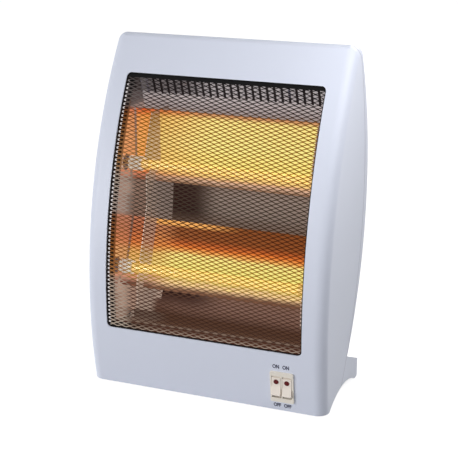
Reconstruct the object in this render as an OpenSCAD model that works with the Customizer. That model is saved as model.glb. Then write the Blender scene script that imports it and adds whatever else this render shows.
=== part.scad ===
// Two-bar halogen heater: a leaning, bowed plastic casing with a mesh-covered window,
// two quartz tubes in polished troughs and a twin rocker switch.
// X runs across the front, Y from front to back and Z up. The origin is on the floor,
// under the middle of the casing. All lengths are in millimetres.

/* [Casing] */
// Width over the side walls
casing_w = 262; // [210:1:320]
// Height of the top front edge above the floor
casing_h = 363; // [300:0.1:440]
// How far the top front edge stands behind the bottom one
front_lean = 78.5; // [50:0.5:110]
// Bow of the front face off the straight line between its two edges
front_bow = 39.3; // [25:0.1:55]
// Depth of the casing at its top
top_depth = 19.8; // [14:0.1:30]
// Depth of the casing where its two faces reach the floor
base_depth = 49.4; // [40:0.1:66]
// Bow of the rear face
rear_bow = 57.4; // [42:0.1:70]
// How much lower the top rear edge is than the top front one
top_drop = 5.4; // [2:0.1:10]
// Thickness of the moulded walls
wall = 2.6; // [2:0.1:3.5]
// Rounding between the front and the sides
side_round = 12; // [6:0.5:16]
// Rounding between the back and the sides
rear_round = 9; // [5:0.5:12]
// Rounding of the corners as seen from the front
corner_round = 16; // [8:0.5:20]
// Rounding along the top edges
top_round = 9; // [4:0.5:10]
// Depth of the rear cover, from its seam to its rearmost point
cover_depth = 18.8; // [14:0.1:26]
// Radius of the seam line on the side walls
seam_r = 361; // [300:1:450]
// How much higher the seam's rearmost point is than the rear face's
seam_rise = 3; // [0:0.5:8]
// Gap between the seam's two edges
seam_gap = 0.3; // [0.2:0.05:0.6]

/* [Foot tails] */
// Width of each foot tail
tail_w = 26; // [20:1:34]
// How far the tails reach behind the rear face's lowest point
tail_reach = 66.6; // [54:0.1:80]
// Height at which a tail leaves the rear face
tail_h = 36; // [30:0.5:44]
// Downward slope of a tail's top, in degrees
tail_slope = 24; // [15:1:35]
// Rounding at the end of a tail
tail_round = 14; // [8:1:18]
// Height of the arch under the side walls
arch_h = 11.5; // [6:0.5:12]
// Length of the flat part of the front edge that stands in front of the arch
arch_front = 13; // [8:1:20]
// Length of a tail behind the arch
arch_rear = 14; // [11:1:20]
// Clear height of the moulded edges above the floor
foot_lift = 1.2; // [0.6:0.1:2]

/* [Window] */
// Width of the casing's margin beside the window
window_side = 23.8; // [18:0.1:32]
// Height of the margin above the window
window_top = 38; // [28:0.1:50]
// Height of the window's lower edge above the floor
window_bottom = 67; // [56:0.1:90]
// Rounding of the window's corners
window_round = 5; // [2:0.5:10]
// Depth of the steel frame that lines the window
frame_depth = 19; // [14:0.5:22]
// Sheet thickness of that frame
frame_t = 1.2; // [0.8:0.1:2]
// Height of the lip that covers the mesh's upper edge
frame_lip = 3.4; // [2:0.1:5]

/* [Grille] */
// Width of one diamond of the mesh
mesh_w = 30; // [24:1:45]
// Height of one diamond
mesh_h = 13; // [11:0.5:20]
// Width of the mesh strands
strand_w = 1.7; // [1.2:0.1:2.4]
// Thickness of the mesh sheet
mesh_t = 1.2; // [0.8:0.1:1.6]
// Width of the mesh's plain border
mesh_border = 3; // [2:0.5:5]

/* [Heating tubes] */
// Outer radius of a quartz tube
tube_r = 5; // [4:0.25:6]
// Wall of a quartz tube
tube_wall = 1; // [0.8:0.1:1.2]
// Depth of the upper tube behind the front face
upper_setback = 32; // [28:1:38]
// Depth of the lower tube behind the front face
lower_setback = 24; // [22:1:32]
// Distance of the upper tube below the window's top edge
upper_drop = 93; // [80:0.5:110]
// Height of the lower tube above the window's lower edge
lower_rise = 60.5; // [45:0.5:75]
// Distance between the casing's left side and a left ceramic end's inner face
end_inset = 44; // [41:0.5:50]
// Length of a ceramic end
end_len = 14; // [11:0.5:18]
// Radius of a ceramic end
end_r = 7.5; // [6.5:0.25:9]
// Depth of the socket in a ceramic end
socket_depth = 7; // [5:0.5:9]
// Number of curls in each coil
coil_turns = 40; // [20:1:45]
// Radius of the coil's wire
wire_r = 0.5; // [0.35:0.05:0.7]
// Gap between the coil and the tube's bore
coil_gap = 0.6; // [0.3:0.1:1]

/* [Reflectors] */
// Distance from a tube's axis to the trough behind it
trough_gap = 23; // [18:0.5:28]
// Height of a trough above its tube's axis
trough_rise = 53; // [40:0.5:60]
// Depth of a trough below its tube's axis
trough_drop = 11; // [8:0.5:16]
// Bend radius at the bottom of a trough
trough_bend = 12; // [8:0.5:16]
// Height of the turned-down lip
trough_lip = 9; // [4:0.5:12]
// Thickness of the bright sheet
sheet = 0.8; // [0.6:0.1:1.2]
// Backward tilt of the lower trough, in degrees
lower_tilt = 20; // [10:1:25]
// Gap between the back of the casing and the inner back plate
shield_gap = 34; // [30:1:42]
// Distance from the casing's left side to the left plate that carries the tubes
support_inset_left = 53; // [50.5:0.5:60]
// Distance from the casing's right side to the right plate that carries the tubes
support_inset_right = 30; // [28:0.5:34]
// Least distance between those plates and the front face
support_setback = 14; // [10:0.5:16]
// How far those plates reach in front of the lower tube's axis; it is twice as much at the upper one
support_grip = 6; // [5:0.5:7]

/* [Vents] */
// Width of an upright slot in the inner back plate
slot_w = 3; // [2:0.1:4]
// Height of those slots
slot_h = 18; // [12:0.5:22]
// Spacing of those slots
slot_pitch = 7.9; // [6:0.1:10]
// Length of a louvre slot in the rear cover
louvre_l = 36; // [24:1:40]
// Width of a louvre slot
louvre_w = 3.6; // [2.5:0.1:4.5]
// Spacing of the louvre slots
louvre_pitch = 7.5; // [6.5:0.1:10]
// Number of louvre rows beside the carrying grip
louvre_rows_top = 4; // [2:1:4]
// Number of louvre rows below the carrying grip
louvre_rows_mid = 6; // [3:1:8]
// Number of louvre rows near the base
louvre_rows_low = 7; // [3:1:8]
// Width of the carrying grip's recess
grip_w = 100; // [85:1:110]
// Height of the recess
grip_h = 28; // [24:1:30]
// Depth of the recess
grip_depth = 25; // [20:1:26]

/* [Switch] */
// Width of the switch bezel
bezel_w = 24.6; // [24:0.1:27]
// Height of the switch bezel
bezel_h = 34.6; // [33:0.1:38]
// Thickness of the bezel
bezel_t = 2; // [1.5:0.1:3]
// Distance from the casing's right side to the middle of the switch
switch_inset = 44.6; // [38:0.1:60]
// Height of the middle of the switch
switch_z = 29.3; // [26:0.1:34]
// Width of one rocker
rocker_w = 9.4; // [8.6:0.1:9.6]
// Height of one rocker
rocker_h = 24.4; // [22:0.1:25]
// Tilt of a rocker either way from level, in degrees
rocker_tilt = 10; // [7:0.5:12]
// Radius of a lens
lens_r = 2.6; // [2:0.1:3.2]

/* [Base] */
// Thickness of the base plate
base_t = 2.4; // [2:0.1:3]
// Distance the tip switch's plunger drops when the heater is lifted
plunger_travel = 5; // [3:0.5:6]
// Radius of the plunger
plunger_r = 3.6; // [3:0.1:5]

/* [Hidden] */

big = 1000;
arc_fn = 360;
round_fn = 64;
small_fn = 32;
eps = 0.02;

// The two bowed faces are arcs through their end points. Each arc's centre and radius
// follow from its chord and its bow.
function chord(p, q) = norm(q - p);
function arc_r(p, q, bow) = (pow(chord(p, q) / 2, 2) + pow(bow, 2)) / (2 * bow);
function arc_centre(p, q, bow, side) =
  (p + q) / 2 + side * (arc_r(p, q, bow) - bow) / chord(p, q) * [q.y - p.y, p.x - q.x];

front_p = [0, 0];
front_q = [front_lean, casing_h];
rear_p = [base_depth, 0];
rear_q = [front_lean + top_depth, casing_h - top_drop];
front_r = arc_r(front_p, front_q, front_bow);
rear_r = arc_r(rear_p, rear_q, rear_bow);
front_c0 = arc_centre(front_p, front_q, front_bow, 1);
rear_c0 = arc_centre(rear_p, rear_q, rear_bow, -1);

// The casing is centred between its foremost and rearmost points.
depth = rear_c0.x + rear_r - (front_c0.x - front_r);
shift = -(front_c0.x - front_r) - depth / 2;
front_c = front_c0 + [shift, 0];
rear_c = rear_c0 + [shift, 0];
seam_c = [rear_c.x + rear_r - cover_depth - seam_r, rear_c.y + seam_rise];

function on_arc(c, r, z, side) = c.x + side * sqrt(r * r - pow(z - c.y, 2));
function y_front(z) = on_arc(front_c, front_r, z, -1);
function y_rear(z) = on_arc(rear_c, rear_r, z, 1);
function y_seam(z) = on_arc(seam_c, seam_r, z, 1);
function front_tilt(z) = asin((z - front_c.y) / front_r);
function rear_tilt(z) = asin((z - rear_c.y) / rear_r);

half_w = casing_w / 2;
window_w = casing_w - 2 * window_side;
window_z0 = window_bottom;
window_z1 = casing_h - window_top;
window_h = window_z1 - window_z0;
frame_in_w = window_w - 2 * frame_t;

// Tube axes, as (y, z) points
upper_z = window_z1 - upper_drop;
lower_z = window_z0 + lower_rise;
upper_tube = [y_front(upper_z) + upper_setback, upper_z];
lower_tube = [y_front(lower_z) + lower_setback, lower_z];
tubes = [upper_tube, lower_tube];
tilts = [0, lower_tilt];
// Places along X of the left and right plates, and of the ceramic ends' inner faces
support_x = [support_inset_left - half_w, half_w - support_inset_right];
end_x = [end_inset - half_w, support_x[1] + sheet];
wall_in = window_w / 2 - 1;
reflector_half = window_w / 2 - 2.5;

// The inner back plate is rolled parallel to the rear cover.
shield_r = rear_r - shield_gap;
shield_half = window_w / 2 + 3;
shield_z0 = window_z0 - 14;
shield_z1 = window_z1 - frame_t - 1.5;
function y_shield(z) = on_arc(rear_c, shield_r - sheet, z, 1);
ear_x = shield_half + 8;
ear_z = [shield_z0 + 30, shield_z1 - 26];
ear_h = 14;
ear_in = shield_half - 2.5;
post_r = 3.4;

boss_x = half_w - 11;
boss_z = [60, casing_h / 2 + 10, casing_h - 31];
boss_r = 4;
screw_r = 1.5;
head_r = 3;
head_h = 2;

grip_z = casing_h - 51;
grip_y = y_rear(grip_z) - grip_depth;

base_z = foot_lift + arch_h + 1;
base_top = base_z + base_t;
rear_foot_y = y_rear(0) + tail_reach - arch_rear / 2 + 1;
front_foot_y = y_front(0) + wall + 8.5;
foot_x = half_w - 20;
tail_mid = half_w - tail_w / 2;
foot_r = 6;
base_screws_at = [for (s = [-1, 1])
  each [[s * (half_w - 64), y_front(base_z) + wall + 4.5], [s * (half_w - wall - 6), y_rear(0) + 2]]];
base_boss_h = 14;
cover_bore = 14;
ear_bore = 12;

/* Helpers */

// Draws a (y, z) outline across the full width w
module along_x(w) {
  translate([-w / 2, 0, 0]) rotate([90, 0, 90]) linear_extrude(w) children();
}

// Draws a (y, z) outline from x0 to x1
module from_x(x0, x1) {
  translate([x0, 0, 0]) rotate([90, 0, 90]) linear_extrude(x1 - x0) children();
}

// Draws an (x, z) outline from y0 back to y1
module along_y(y0, y1) {
  translate([0, y1, 0]) rotate([90, 0, 0]) linear_extrude(y1 - y0) children();
}

module disc2(c, r) {
  translate(c) circle(r = r, $fn = arc_fn);
}

// A (y, z) band between two heights
module band2(z0, z1) {
  translate([-big / 2, z0]) square([big, z1 - z0]);
}

module round_rect(w, h, r) {
  union() {
    square([w - 2 * r, h], center = true);
    square([w, h - 2 * r], center = true);
    for (x = [-1, 1], y = [-1, 1])
      translate([x * (w / 2 - r), y * (h / 2 - r)]) circle(r = r, $fn = round_fn);
  }
}

module slot2(l, w) {
  union() {
    square([l - w, w], center = true);
    for (s = [-1, 1]) translate([s * (l - w) / 2, 0]) circle(r = w / 2, $fn = small_fn);
  }
}

// A disc about an axis along X whose rim is rounded into its flat sides
module rolled_disc(c, r, half, rim) {
  translate([0, c.x, c.y]) rotate([0, 90, 0]) rotate_extrude($fn = arc_fn) union() {
    translate([0, -half]) square([r - rim, 2 * half]);
    translate([0, rim - half]) square([r, 2 * (half - rim)]);
    for (s = [-1, 1]) translate([r - rim, s * (half - rim)]) circle(r = rim, $fn = round_fn);
  }
}

// Places children on the front face, with Y pointing into the casing
module on_front(x, z) {
  translate([x, y_front(z), z]) rotate([-front_tilt(z), 0, 0]) children();
}

// Places children on the rear face, with Z pointing out of the casing
module on_rear(x, z) {
  translate([x, rear_c.x, rear_c.y]) rotate([rear_tilt(z), 0, 0])
    translate([0, rear_r, 0]) rotate([-90, 0, 0]) children();
}

// A cylinder along Y from y0 back to y1
module bar_y(x, z, r, y0, y1, fn = small_fn) {
  translate([x, y0, z]) rotate([-90, 0, 0]) cylinder(r = r, h = y1 - y0, $fn = fn);
}

// A cylinder along X from x0 to x1 about the (y, z) point p
module bar_x(p, r, x0, x1, fn = 48) {
  translate([x0, p.x, p.y]) rotate([0, 90, 0]) cylinder(r = r, h = x1 - x0, $fn = fn);
}

/* Swept tubes */

function unit(v) = v / norm(v);
function tangents(p) = let (n = len(p) - 1)
  [for (i = [0:n]) unit(p[min(i + 1, n)] - p[max(i - 1, 0)])];
// Carries a sideways direction along the route without twisting it
function carry(v, t) = unit(v - (v * t) * t);
function sideways(t, start) =
  [for (i = 0, v = carry(start, t[0]); i < len(t);
        i = i + 1, v = i < len(t) ? carry(v, t[i]) : v) v];

module swept_tube(p, r, sides, start) {
  t = tangents(p);
  s = sideways(t, start);
  n = len(p);
  ring = [for (i = [0:n - 1], k = [0:sides - 1]) let (a = 360 * k / sides)
    p[i] + r * (cos(a) * s[i] + sin(a) * cross(t[i], s[i]))];
  sides_faces = [for (i = [0:n - 2], k = [0:sides - 1]) let (m = (k + 1) % sides, a = i * sides)
    each [[a + k, a + m, a + sides + m], [a + k, a + sides + m, a + sides + k]]];
  ends = [for (k = [1:sides - 2])
    each [[0, k + 1, k], [(n - 1) * sides, (n - 1) * sides + k, (n - 1) * sides + k + 1]]];
  polyhedron(points = ring, faces = [for (f = concat(sides_faces, ends)) [f[0], f[2], f[1]]]);
}

/* Casing */

// The casing's outer form, drawn in by o on every side and carried down to z_low
module casing_form(o, z_low) {
  intersection() {
    rolled_disc(front_c, front_r - o, half_w - o, side_round - o);
    rolled_disc(rear_c, rear_r - o, half_w - o, rear_round - o);
    along_x(casing_w + 2) top_profile(o, z_low);
    along_y(-big / 2, big / 2)
      translate([0, (casing_h - o + z_low) / 2 - corner_round])
        round_rect(casing_w - 2 * o, casing_h - o - z_low + 2 * corner_round, corner_round - o);
  }
}

// Side view of the top: a sloping line with a rounded edge at each end
top_dir = unit([top_depth, -top_drop]);
top_n = [-top_dir.y, top_dir.x];
top_edge = [front_lean + shift, casing_h];

// Where a line that is d below the top meets a circle
function top_meet(c, r, d, side) =
  let (p = top_edge - d * top_n, m = c - p, s = m * top_dir, h = m * top_n)
  p + (s + side * sqrt(r * r - h * h)) * top_dir;

module top_profile(o, z_low) {
  d = top_round + o;
  r = top_round - o > 1 ? top_round - o : 1;
  a = top_meet(front_c, front_r - o - r + eps, o + r, -1);
  b = top_meet(rear_c, rear_r - o - r + eps, o + r, 1);
  out_a = unit(a - front_c);
  out_b = unit(b - rear_c);
  union() {
    polygon([
      a + r * top_n, b + r * top_n, b, b + r * out_b, b + r * out_b + big / 4 * [out_b.y, -out_b.x],
      [big / 2, z_low], [-big / 2, z_low],
      a + r * out_a + big / 4 * [-out_a.y, out_a.x], a + r * out_a, a
    ]);
    disc2(a, r);
    disc2(b, r);
  }
}

// Side view of a foot tail, drawn in by o
tail_end = y_rear(0) + tail_reach;
module tail_profile(o) {
  n = [sin(tail_slope), cos(tail_slope)];
  d = [cos(tail_slope), -sin(tail_slope)];
  p = [y_rear(tail_h), tail_h];
  c = let (y = tail_end - tail_round) [y, p.y - (tail_round + (y - p.x) * n.x) / n.y];
  r = tail_round - o;
  intersection() {
    union() {
      polygon([
        [-30, foot_lift], [tail_end - o, foot_lift], [tail_end - o, c.y], c, c + r * n, p - 45 * d - o * n
      ]);
      disc2(c, r);
    }
    band2(foot_lift, casing_h);
  }
}

module tail_block(side, o) {
  x0 = half_w - tail_w;
  intersection() {
    from_x(side > 0 ? x0 + o : -half_w + o, side > 0 ? half_w - o : -x0 - o) tail_profile(o);
    translate([side * tail_mid, tail_end - o - big / 4, -1])
      linear_extrude(big / 4) round_rect(tail_w - 2 * o, big / 2, 6);
  }
}

module arch_cut() {
  y0 = y_front(0) + arch_front;
  y1 = tail_end - arch_rear;
  half = (y1 - y0) / 2;
  r = (half * half + arch_h * arch_h) / (2 * arch_h);
  translate([0, (y0 + y1) / 2, foot_lift + arch_h - r]) rotate([0, 90, 0])
    cylinder(r = r, h = casing_w + 2, center = true, $fn = arc_fn);
}

module behind_seam(gap) {
  along_x(casing_w + 4) difference() {
    translate([seam_c.x, -big / 2]) square([big, big * 2]);
    disc2(seam_c, seam_r + gap);
  }
}

module window_cut(o) {
  along_y(-big / 2, y_front(window_z1) + 30)
    translate([0, (window_z0 + window_z1) / 2])
      round_rect(window_w + 2 * o, window_h + 2 * o, window_round + o);
}

module front_shell() {
  color("lavender") difference() {
    union() {
      difference() {
        casing_form(0, foot_lift);
        casing_form(wall, -big / 4);
        behind_seam(0);
      }
      for (s = [-1, 1]) difference() {
        tail_block(s, 0);
        difference() {
          tail_block(s, wall);
          translate([s * tail_mid, tail_end, 0])
            cube([tail_w, 2 * arch_rear + 4, 2 * (foot_lift + wall)], center = true);
        }
        casing_form(wall, -big / 4);
      }
      intersection() {
        union() {
          for (s = [-1, 1], z = boss_z) bar_y(s * boss_x, z, boss_r, y_front(z) + wall / 2, y_seam(z));
          for (s = [-1, 1], z = ear_z) bar_y(s * ear_x, z, post_r, y_front(z) + wall / 2, y_shield(z));
          for (p = base_screws_at) translate([p.x, p.y, base_top]) {
            cylinder(r = boss_r, h = base_boss_h, $fn = small_fn);
            rotate(p.y < y_front(base_z) + 2 * boss_r + wall ? -90 : p.x > 0 ? 0 : 180)
              translate([0, -1.5, 0]) cube([2.5 * boss_r, 3, base_boss_h]);
          }
        }
        casing_form(wall / 2, 0);
      }
    }
    window_cut(0);
    arch_cut();
    for (s = [-1, 1], z = boss_z) bar_y(s * boss_x, z, screw_r - 0.2, y_seam(z) - cover_bore, y_seam(z) + 1);
    for (s = [-1, 1], z = ear_z) bar_y(s * ear_x, z, screw_r - 0.2, y_shield(z) - ear_bore, y_shield(z) + 6);
    for (p = base_screws_at) translate([p.x, p.y, base_top - 1])
      cylinder(r = screw_r - 0.2, h = base_boss_h - 3, $fn = small_fn);
    for (s = [-1, 1]) translate([s * tail_mid, rear_foot_y, foot_lift - 1])
      cylinder(r = foot_r - 0.5, h = 2, $fn = small_fn);
    switch_opening();
  }
}

module grip_outline(o) {
  translate([0, grip_z]) round_rect(grip_w + 2 * o, grip_h + 2 * o, 8 + o);
}

module rear_cover() {
  color("lavender") difference() {
    union() {
      difference() {
        casing_form(0, base_z);
        casing_form(wall, -big / 4);
        along_x(casing_w + 4) disc2(seam_c, seam_r + seam_gap);
        for (s = [-1, 1]) tail_clear(s);
      }
      intersection() {
        union() {
          along_y(grip_y - wall, big / 2) grip_outline(wall);
          for (s = [-1, 1], z = boss_z) bar_y(s * boss_x, z, boss_r + 1, y_seam(z), y_rear(z));
        }
        casing_form(wall / 2, base_z);
      }
    }
    along_y(grip_y, big / 2) grip_outline(0);
    for (s = [-1, 1], z = boss_z) {
      bar_y(s * boss_x, z, screw_r + 0.2, y_seam(z) - 2, y_rear(z) + 5);
      bar_y(s * boss_x, z, head_r + 0.4, y_seam(z) + 4, y_rear(z) + 5);
    }
    louvres();
    on_rear(bush_x, bush_z) cylinder(r = bush_neck + 0.2, h = 4 * wall, center = true, $fn = round_fn);
  }
}

module tail_clear(s) {
  x0 = half_w - tail_w - seam_gap;
  from_x(s > 0 ? x0 : -half_w - 1, s > 0 ? half_w + 1 : -x0) translate([0, seam_gap]) tail_profile(0);
}

module louvres() {
  along_y(0, big / 2) {
    for (s = [-1, 1], i = [0:louvre_rows_top - 1])
      translate([s * (grip_w / 2 + 8 + louvre_l / 2), casing_h - 30 - i * louvre_pitch])
        slot2(louvre_l, louvre_w);
    for (s = [-1, 0, 1], i = [0:louvre_rows_mid - 1])
      translate([s * (louvre_l + 10), grip_z - 36 - i * louvre_pitch]) slot2(louvre_l, louvre_w);
    for (s = [-1, 0, 1], i = [0:louvre_rows_low - 1])
      translate([s * (louvre_l + 10), 66 + i * louvre_pitch]) slot2(louvre_l, louvre_w);
  }
}

module base_plate() {
  color("gainsboro") difference() {
    intersection() {
      casing_form(wall + 0.3, -big / 4);
      translate([-half_w, -big / 2, base_z]) cube([casing_w, big, base_t]);
    }
    for (p = base_screws_at) translate([p.x, p.y, base_z - 1])
      cylinder(r = screw_r + 0.2, h = base_t + 2, $fn = small_fn);
    for (s = [-1, 1]) translate([s * tip_screw_x, tip_y, base_z - 1])
      cylinder(r = screw_r - 0.2, h = base_t + 2, $fn = small_fn);
    translate([0, tip_y, base_z - 1]) cylinder(r = plunger_r + plunger_gap, h = base_t + 2, $fn = round_fn);
    in_switch() translate([0, switch_depth / 2, -body_h / 2])
      cube([body_w + 4, 2 * switch_depth, 10], center = true);
    for (i = [-3:3]) translate([i * 14, tip_y + 22, base_z - 1])
      linear_extrude(base_t + 2) rotate(90) slot2(14, 4);
  }
}

module rubber_feet() {
  color("dimgray") {
    for (s = [-1, 1]) translate([s * foot_x, front_foot_y, 0]) rotate_extrude($fn = round_fn)
      polygon([[0, 0], [foot_r - 0.8, 0], [foot_r, 0.8], [foot_r + 1, base_z], [0, base_z]]);
    for (s = [-1, 1]) translate([s * tail_mid, rear_foot_y, 0]) rotate_extrude($fn = round_fn)
      polygon([
        [0, 0], [foot_r - 1.3, 0], [foot_r - 0.5, 0.8], [foot_r - 0.5, foot_lift + 1], [0, foot_lift + 1]
      ]);
  }
}

/* Window */

// A ring about the front face's axis, from depth d0 to depth d1 behind the face
module front_ring2(d0, d1) {
  intersection() {
    difference() {
      disc2(front_c, front_r - d0);
      disc2(front_c, front_r - d1);
    }
    translate([front_c.x - front_r - 1, 0]) square([front_r, casing_h * 1.5]);
  }
}

// The mesh lies this far behind the casing's middle skin, and the lip is in front of it.
mesh_seat = 1;
end_clear = end_r + 1;

module grille_frame() {
  color("#2b2a2d") union() {
    difference() {
      intersection() {
        along_x(window_w) front_ring2(wall / 2, frame_depth);
        window_cut(0);
      }
      window_cut(-frame_t);
      for (p = tubes) bar_x(p, end_clear, window_w / 2 - 2 * frame_t, window_w / 2 + frame_t);
    }
    intersection() {
      along_x(window_w) intersection() {
        front_ring2(wall / 2, wall / 2 + mesh_seat - 0.1);
        band2(window_z1 - frame_t - frame_lip, casing_h);
      }
      window_cut(0);
    }
  }
}

// The mesh sheet is rolled to the front's bow. Each diamond is cut square to the sheet.
module grille() {
  r = front_r - wall / 2 - mesh_seat;
  mid_z = (window_z0 + window_z1) / 2;
  mid_a = asin((mid_z - front_c.y) / r);
  half_a = asin((window_z1 - front_c.y) / r) / 2 - asin((window_z0 - front_c.y) / r) / 2;
  step_a = mesh_h / r * 180 / PI;
  rows = floor(half_a / step_a * 2);
  cols = floor((frame_in_w - 2 * mesh_border) / mesh_w);
  strand = strand_w * norm([mesh_w, mesh_h]);
  cell = [mesh_w - strand / mesh_h, mesh_h - strand / mesh_w] / 2;
  color("silver") difference() {
    intersection() {
      along_x(frame_in_w) difference() {
        disc2(front_c, r);
        disc2(front_c, r - mesh_t);
      }
      window_cut(-frame_t);
    }
    intersection() {
      for (j = [0:rows * 2]) let (a = mid_a + (j / 2 - rows / 2) * step_a, odd = j % 2)
        for (i = [0:cols - odd])
          translate([(i - (cols - odd) / 2) * mesh_w, front_c.x, front_c.y]) rotate([-a, 0, 0])
            translate([0, -r - 2, 0]) rotate([-90, 0, 0]) linear_extrude(4 + mesh_t)
              polygon([[-cell.x, 0], [0, -cell.y], [cell.x, 0], [0, cell.y]]);
      window_cut(-frame_t - mesh_border);
    }
  }
}

/* Inner box */

module shield_ring2() {
  difference() {
    disc2(rear_c, shield_r);
    disc2(rear_c, shield_r - sheet);
  }
}

module heat_shield() {
  slots = floor((2 * shield_half - slot_w - 4) / slot_pitch);
  slot_z = shield_z1 - 15;
  color("silver") difference() {
    union() {
      intersection() {
        along_x(2 * shield_half) shield_ring2();
        translate([-half_w, rear_c.x, shield_z0]) cube([casing_w, big, shield_z1 - shield_z0]);
      }
      for (s = [-1, 1], z = ear_z) along_y(y_shield(z), y_shield(z) + sheet)
        translate([s * (ear_in + ear_x + 5) / 2, z]) square([ear_x + 5 - ear_in, ear_h], center = true);
    }
    for (i = [0:slots]) translate([(i - slots / 2) * slot_pitch, 0, 0])
      along_y(-big / 4, big / 4) translate([0, slot_z]) rotate(90) slot2(slot_h, slot_w);
    for (s = [-1, 1], z = ear_z) bar_y(s * ear_x, z, screw_r + 0.2, -big / 4, big / 4);
    at_cutout() for (s = [-1, 1]) translate([s * cutout_screw_x, 0, -2])
      cylinder(r = screw_r - 0.2, h = 4, $fn = small_fn);
  }
}

// A side wall closes the box between the frame's rear edge and the inner back plate. It has a
// hole round each tube's end and a flange that lies on the back plate.
wall_flange = 3.5;
flange_clear = 60;
module side_wall(side) {
  x = side > 0 ? wall_in : -wall_in - sheet;
  color("silver") difference() {
    union() {
      from_x(x, x + sheet) intersection() {
        disc2(front_c, front_r - frame_depth - 0.25);
        disc2(rear_c, shield_r - sheet);
        band2(window_z0 - 3, shield_z1 - 2);
      }
      from_x(side > 0 ? x : x + sheet - wall_flange, side > 0 ? x + wall_flange : x + sheet) intersection() {
        difference() {
          disc2(rear_c, shield_r - sheet);
          disc2(rear_c, shield_r - 2 * sheet);
        }
        translate([rear_c.x, shield_z0 + flange_clear]) square([big, shield_z1 - shield_z0 - 2 * flange_clear]);
      }
    }
    for (p = tubes) bar_x(p, end_clear, x - 1, x + sheet + 1);
  }
}

module side_wall_left() {
  side_wall(-1);
}

module side_wall_right() {
  side_wall(1);
}

// A flat sheet between two (y, z) points, thickened towards the right of its direction
module sheet2(p, q, t) {
  d = unit(q - p);
  n = [d.y, -d.x];
  polygon([p, q, q + t * n, p + t * n]);
}

hem = 2;
module baffle() {
  p = [on_arc(front_c, front_r - frame_depth, window_z0, -1) + 0.25, window_z0 + frame_t];
  q = [y_shield(shield_z0 + 4), shield_z0 + 4];
  color("darkgray") intersection() {
    along_x(2 * reflector_half) {
      sheet2(p, q, sheet);
      sheet2(q - [sheet, 0], q + [-sheet, 9], sheet);
      sheet2(p - [0, sheet], p + [0, hem], sheet);
    }
    along_x(casing_w) disc2(rear_c, shield_r - sheet);
  }
}

// Side view of a trough about its tube's axis: an upright back, a bend and a turned-down lip
module trough2(t) {
  c = [trough_gap - trough_bend, trough_bend - trough_drop];
  union() {
    translate([trough_gap, c.y - eps]) square([t, trough_rise - c.y + eps]);
    translate([trough_gap - 1.6, trough_rise]) square([1.6 + t, t]);
    intersection() {
      difference() {
        translate(c) circle(r = trough_bend + t, $fn = round_fn);
        translate(c) circle(r = trough_bend, $fn = round_fn);
      }
      translate([c.x, c.y - trough_bend - t]) square([trough_bend + t, trough_bend + t]);
    }
    translate([c.x - t, -trough_drop - trough_lip]) square([t, trough_lip]);
    translate([c.x - t, -trough_drop - t]) square([t + eps, t]);
  }
}

module trough_at(i, t) {
  translate(tubes[i]) rotate(-tilts[i]) trough2(t);
}

module reflector(i) {
  color("#d8d4c8") along_x(2 * reflector_half) trough_at(i, sheet);
}

module reflector_upper() {
  reflector(0);
}

module reflector_lower() {
  reflector(1);
}

// Side view of an upright plate: its front edge runs along both troughs and passes just in
// front of the tubes, and its rear edge follows the inner back plate.
module support2() {
  intersection() {
    polygon([
      for (k = [[0, trough_rise + 1], [0, -plate_reach], [1, plate_reach - 8], [1, -plate_reach]])
        at_tube(k[0], -grips[k[0]], k[1]),
      [big / 4, window_z0], [big / 4, upper_tube.y + trough_rise + 1]
    ]);
    disc2(front_c, front_r - support_setback);
    disc2(rear_c, shield_r - sheet);
    band2(window_z0 + 8, upper_tube.y + trough_rise + 4);
  }
}

plate_reach = 40;
grips = [2 * support_grip, support_grip];
mouth_h = 15;
// A point in a trough's own directions: b behind the tube's axis and u above it
function at_tube(i, b, u) = tubes[i]
  + [b * cos(tilts[i]) + u * sin(tilts[i]), u * cos(tilts[i]) - b * sin(tilts[i])];

// The troughs pass through slits in the plate, and each tube lies in a notch whose wide mouth
// opens to the front. Three flanges lie on the inner back plate.
flange_l = 8;
flange_h = 12;
module tube_support(x) {
  notch_r = tube_r + 0.05;
  color("darkgray") difference() {
    union() {
      from_x(x - sheet / 2, x + sheet / 2) support2();
      for (z = [upper_tube.y + trough_rise - 12, (upper_tube.y + lower_tube.y) / 2 + 8, window_z0 + 16])
        from_x(x - flange_l, x) intersection() {
          difference() {
            disc2(rear_c, shield_r - sheet);
            disc2(rear_c, shield_r - 2 * sheet);
          }
          translate([rear_c.x, z - flange_h / 2]) square([big, flange_h]);
        }
    }
    along_x(casing_w) for (i = [0, 1]) {
      trough_at(i, sheet);
      translate(tubes[i]) circle(r = notch_r, $fn = round_fn);
      translate(tubes[i]) rotate(-tilts[i]) {
        translate([-plate_reach, -tube_r + 0.2]) square([plate_reach, 2 * tube_r - 0.4]);
        translate([-plate_reach, -mouth_h / 2]) square([plate_reach - 0.6 * tube_r, mouth_h]);
      }
    }
  }
}

module tube_support_left() {
  tube_support(support_x[0]);
}

module tube_support_right() {
  tube_support(support_x[1]);
}

/* Heating tubes */

clip_len = 5;
stub_len = 1.2;
tab_w = 4.8;
tab_t = 0.8;
tab_root = 2;
tab_out = 9;

module quartz_tube(i) {
  color("lemonchiffon", 0.5) difference() {
    bar_x(tubes[i], tube_r, end_x[0] - socket_depth, end_x[1] + socket_depth);
    bar_x(tubes[i], tube_r - tube_wall, end_x[0] - socket_depth - 1, end_x[1] + socket_depth + 1);
  }
}

module quartz_tube_upper() {
  quartz_tube(0);
}

module quartz_tube_lower() {
  quartz_tube(1);
}

coil_r = tube_r - tube_wall - coil_gap - wire_r;
coil_x = [end_x[0] + 4, end_x[1] - 4];
curl_rings = 8;
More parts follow.
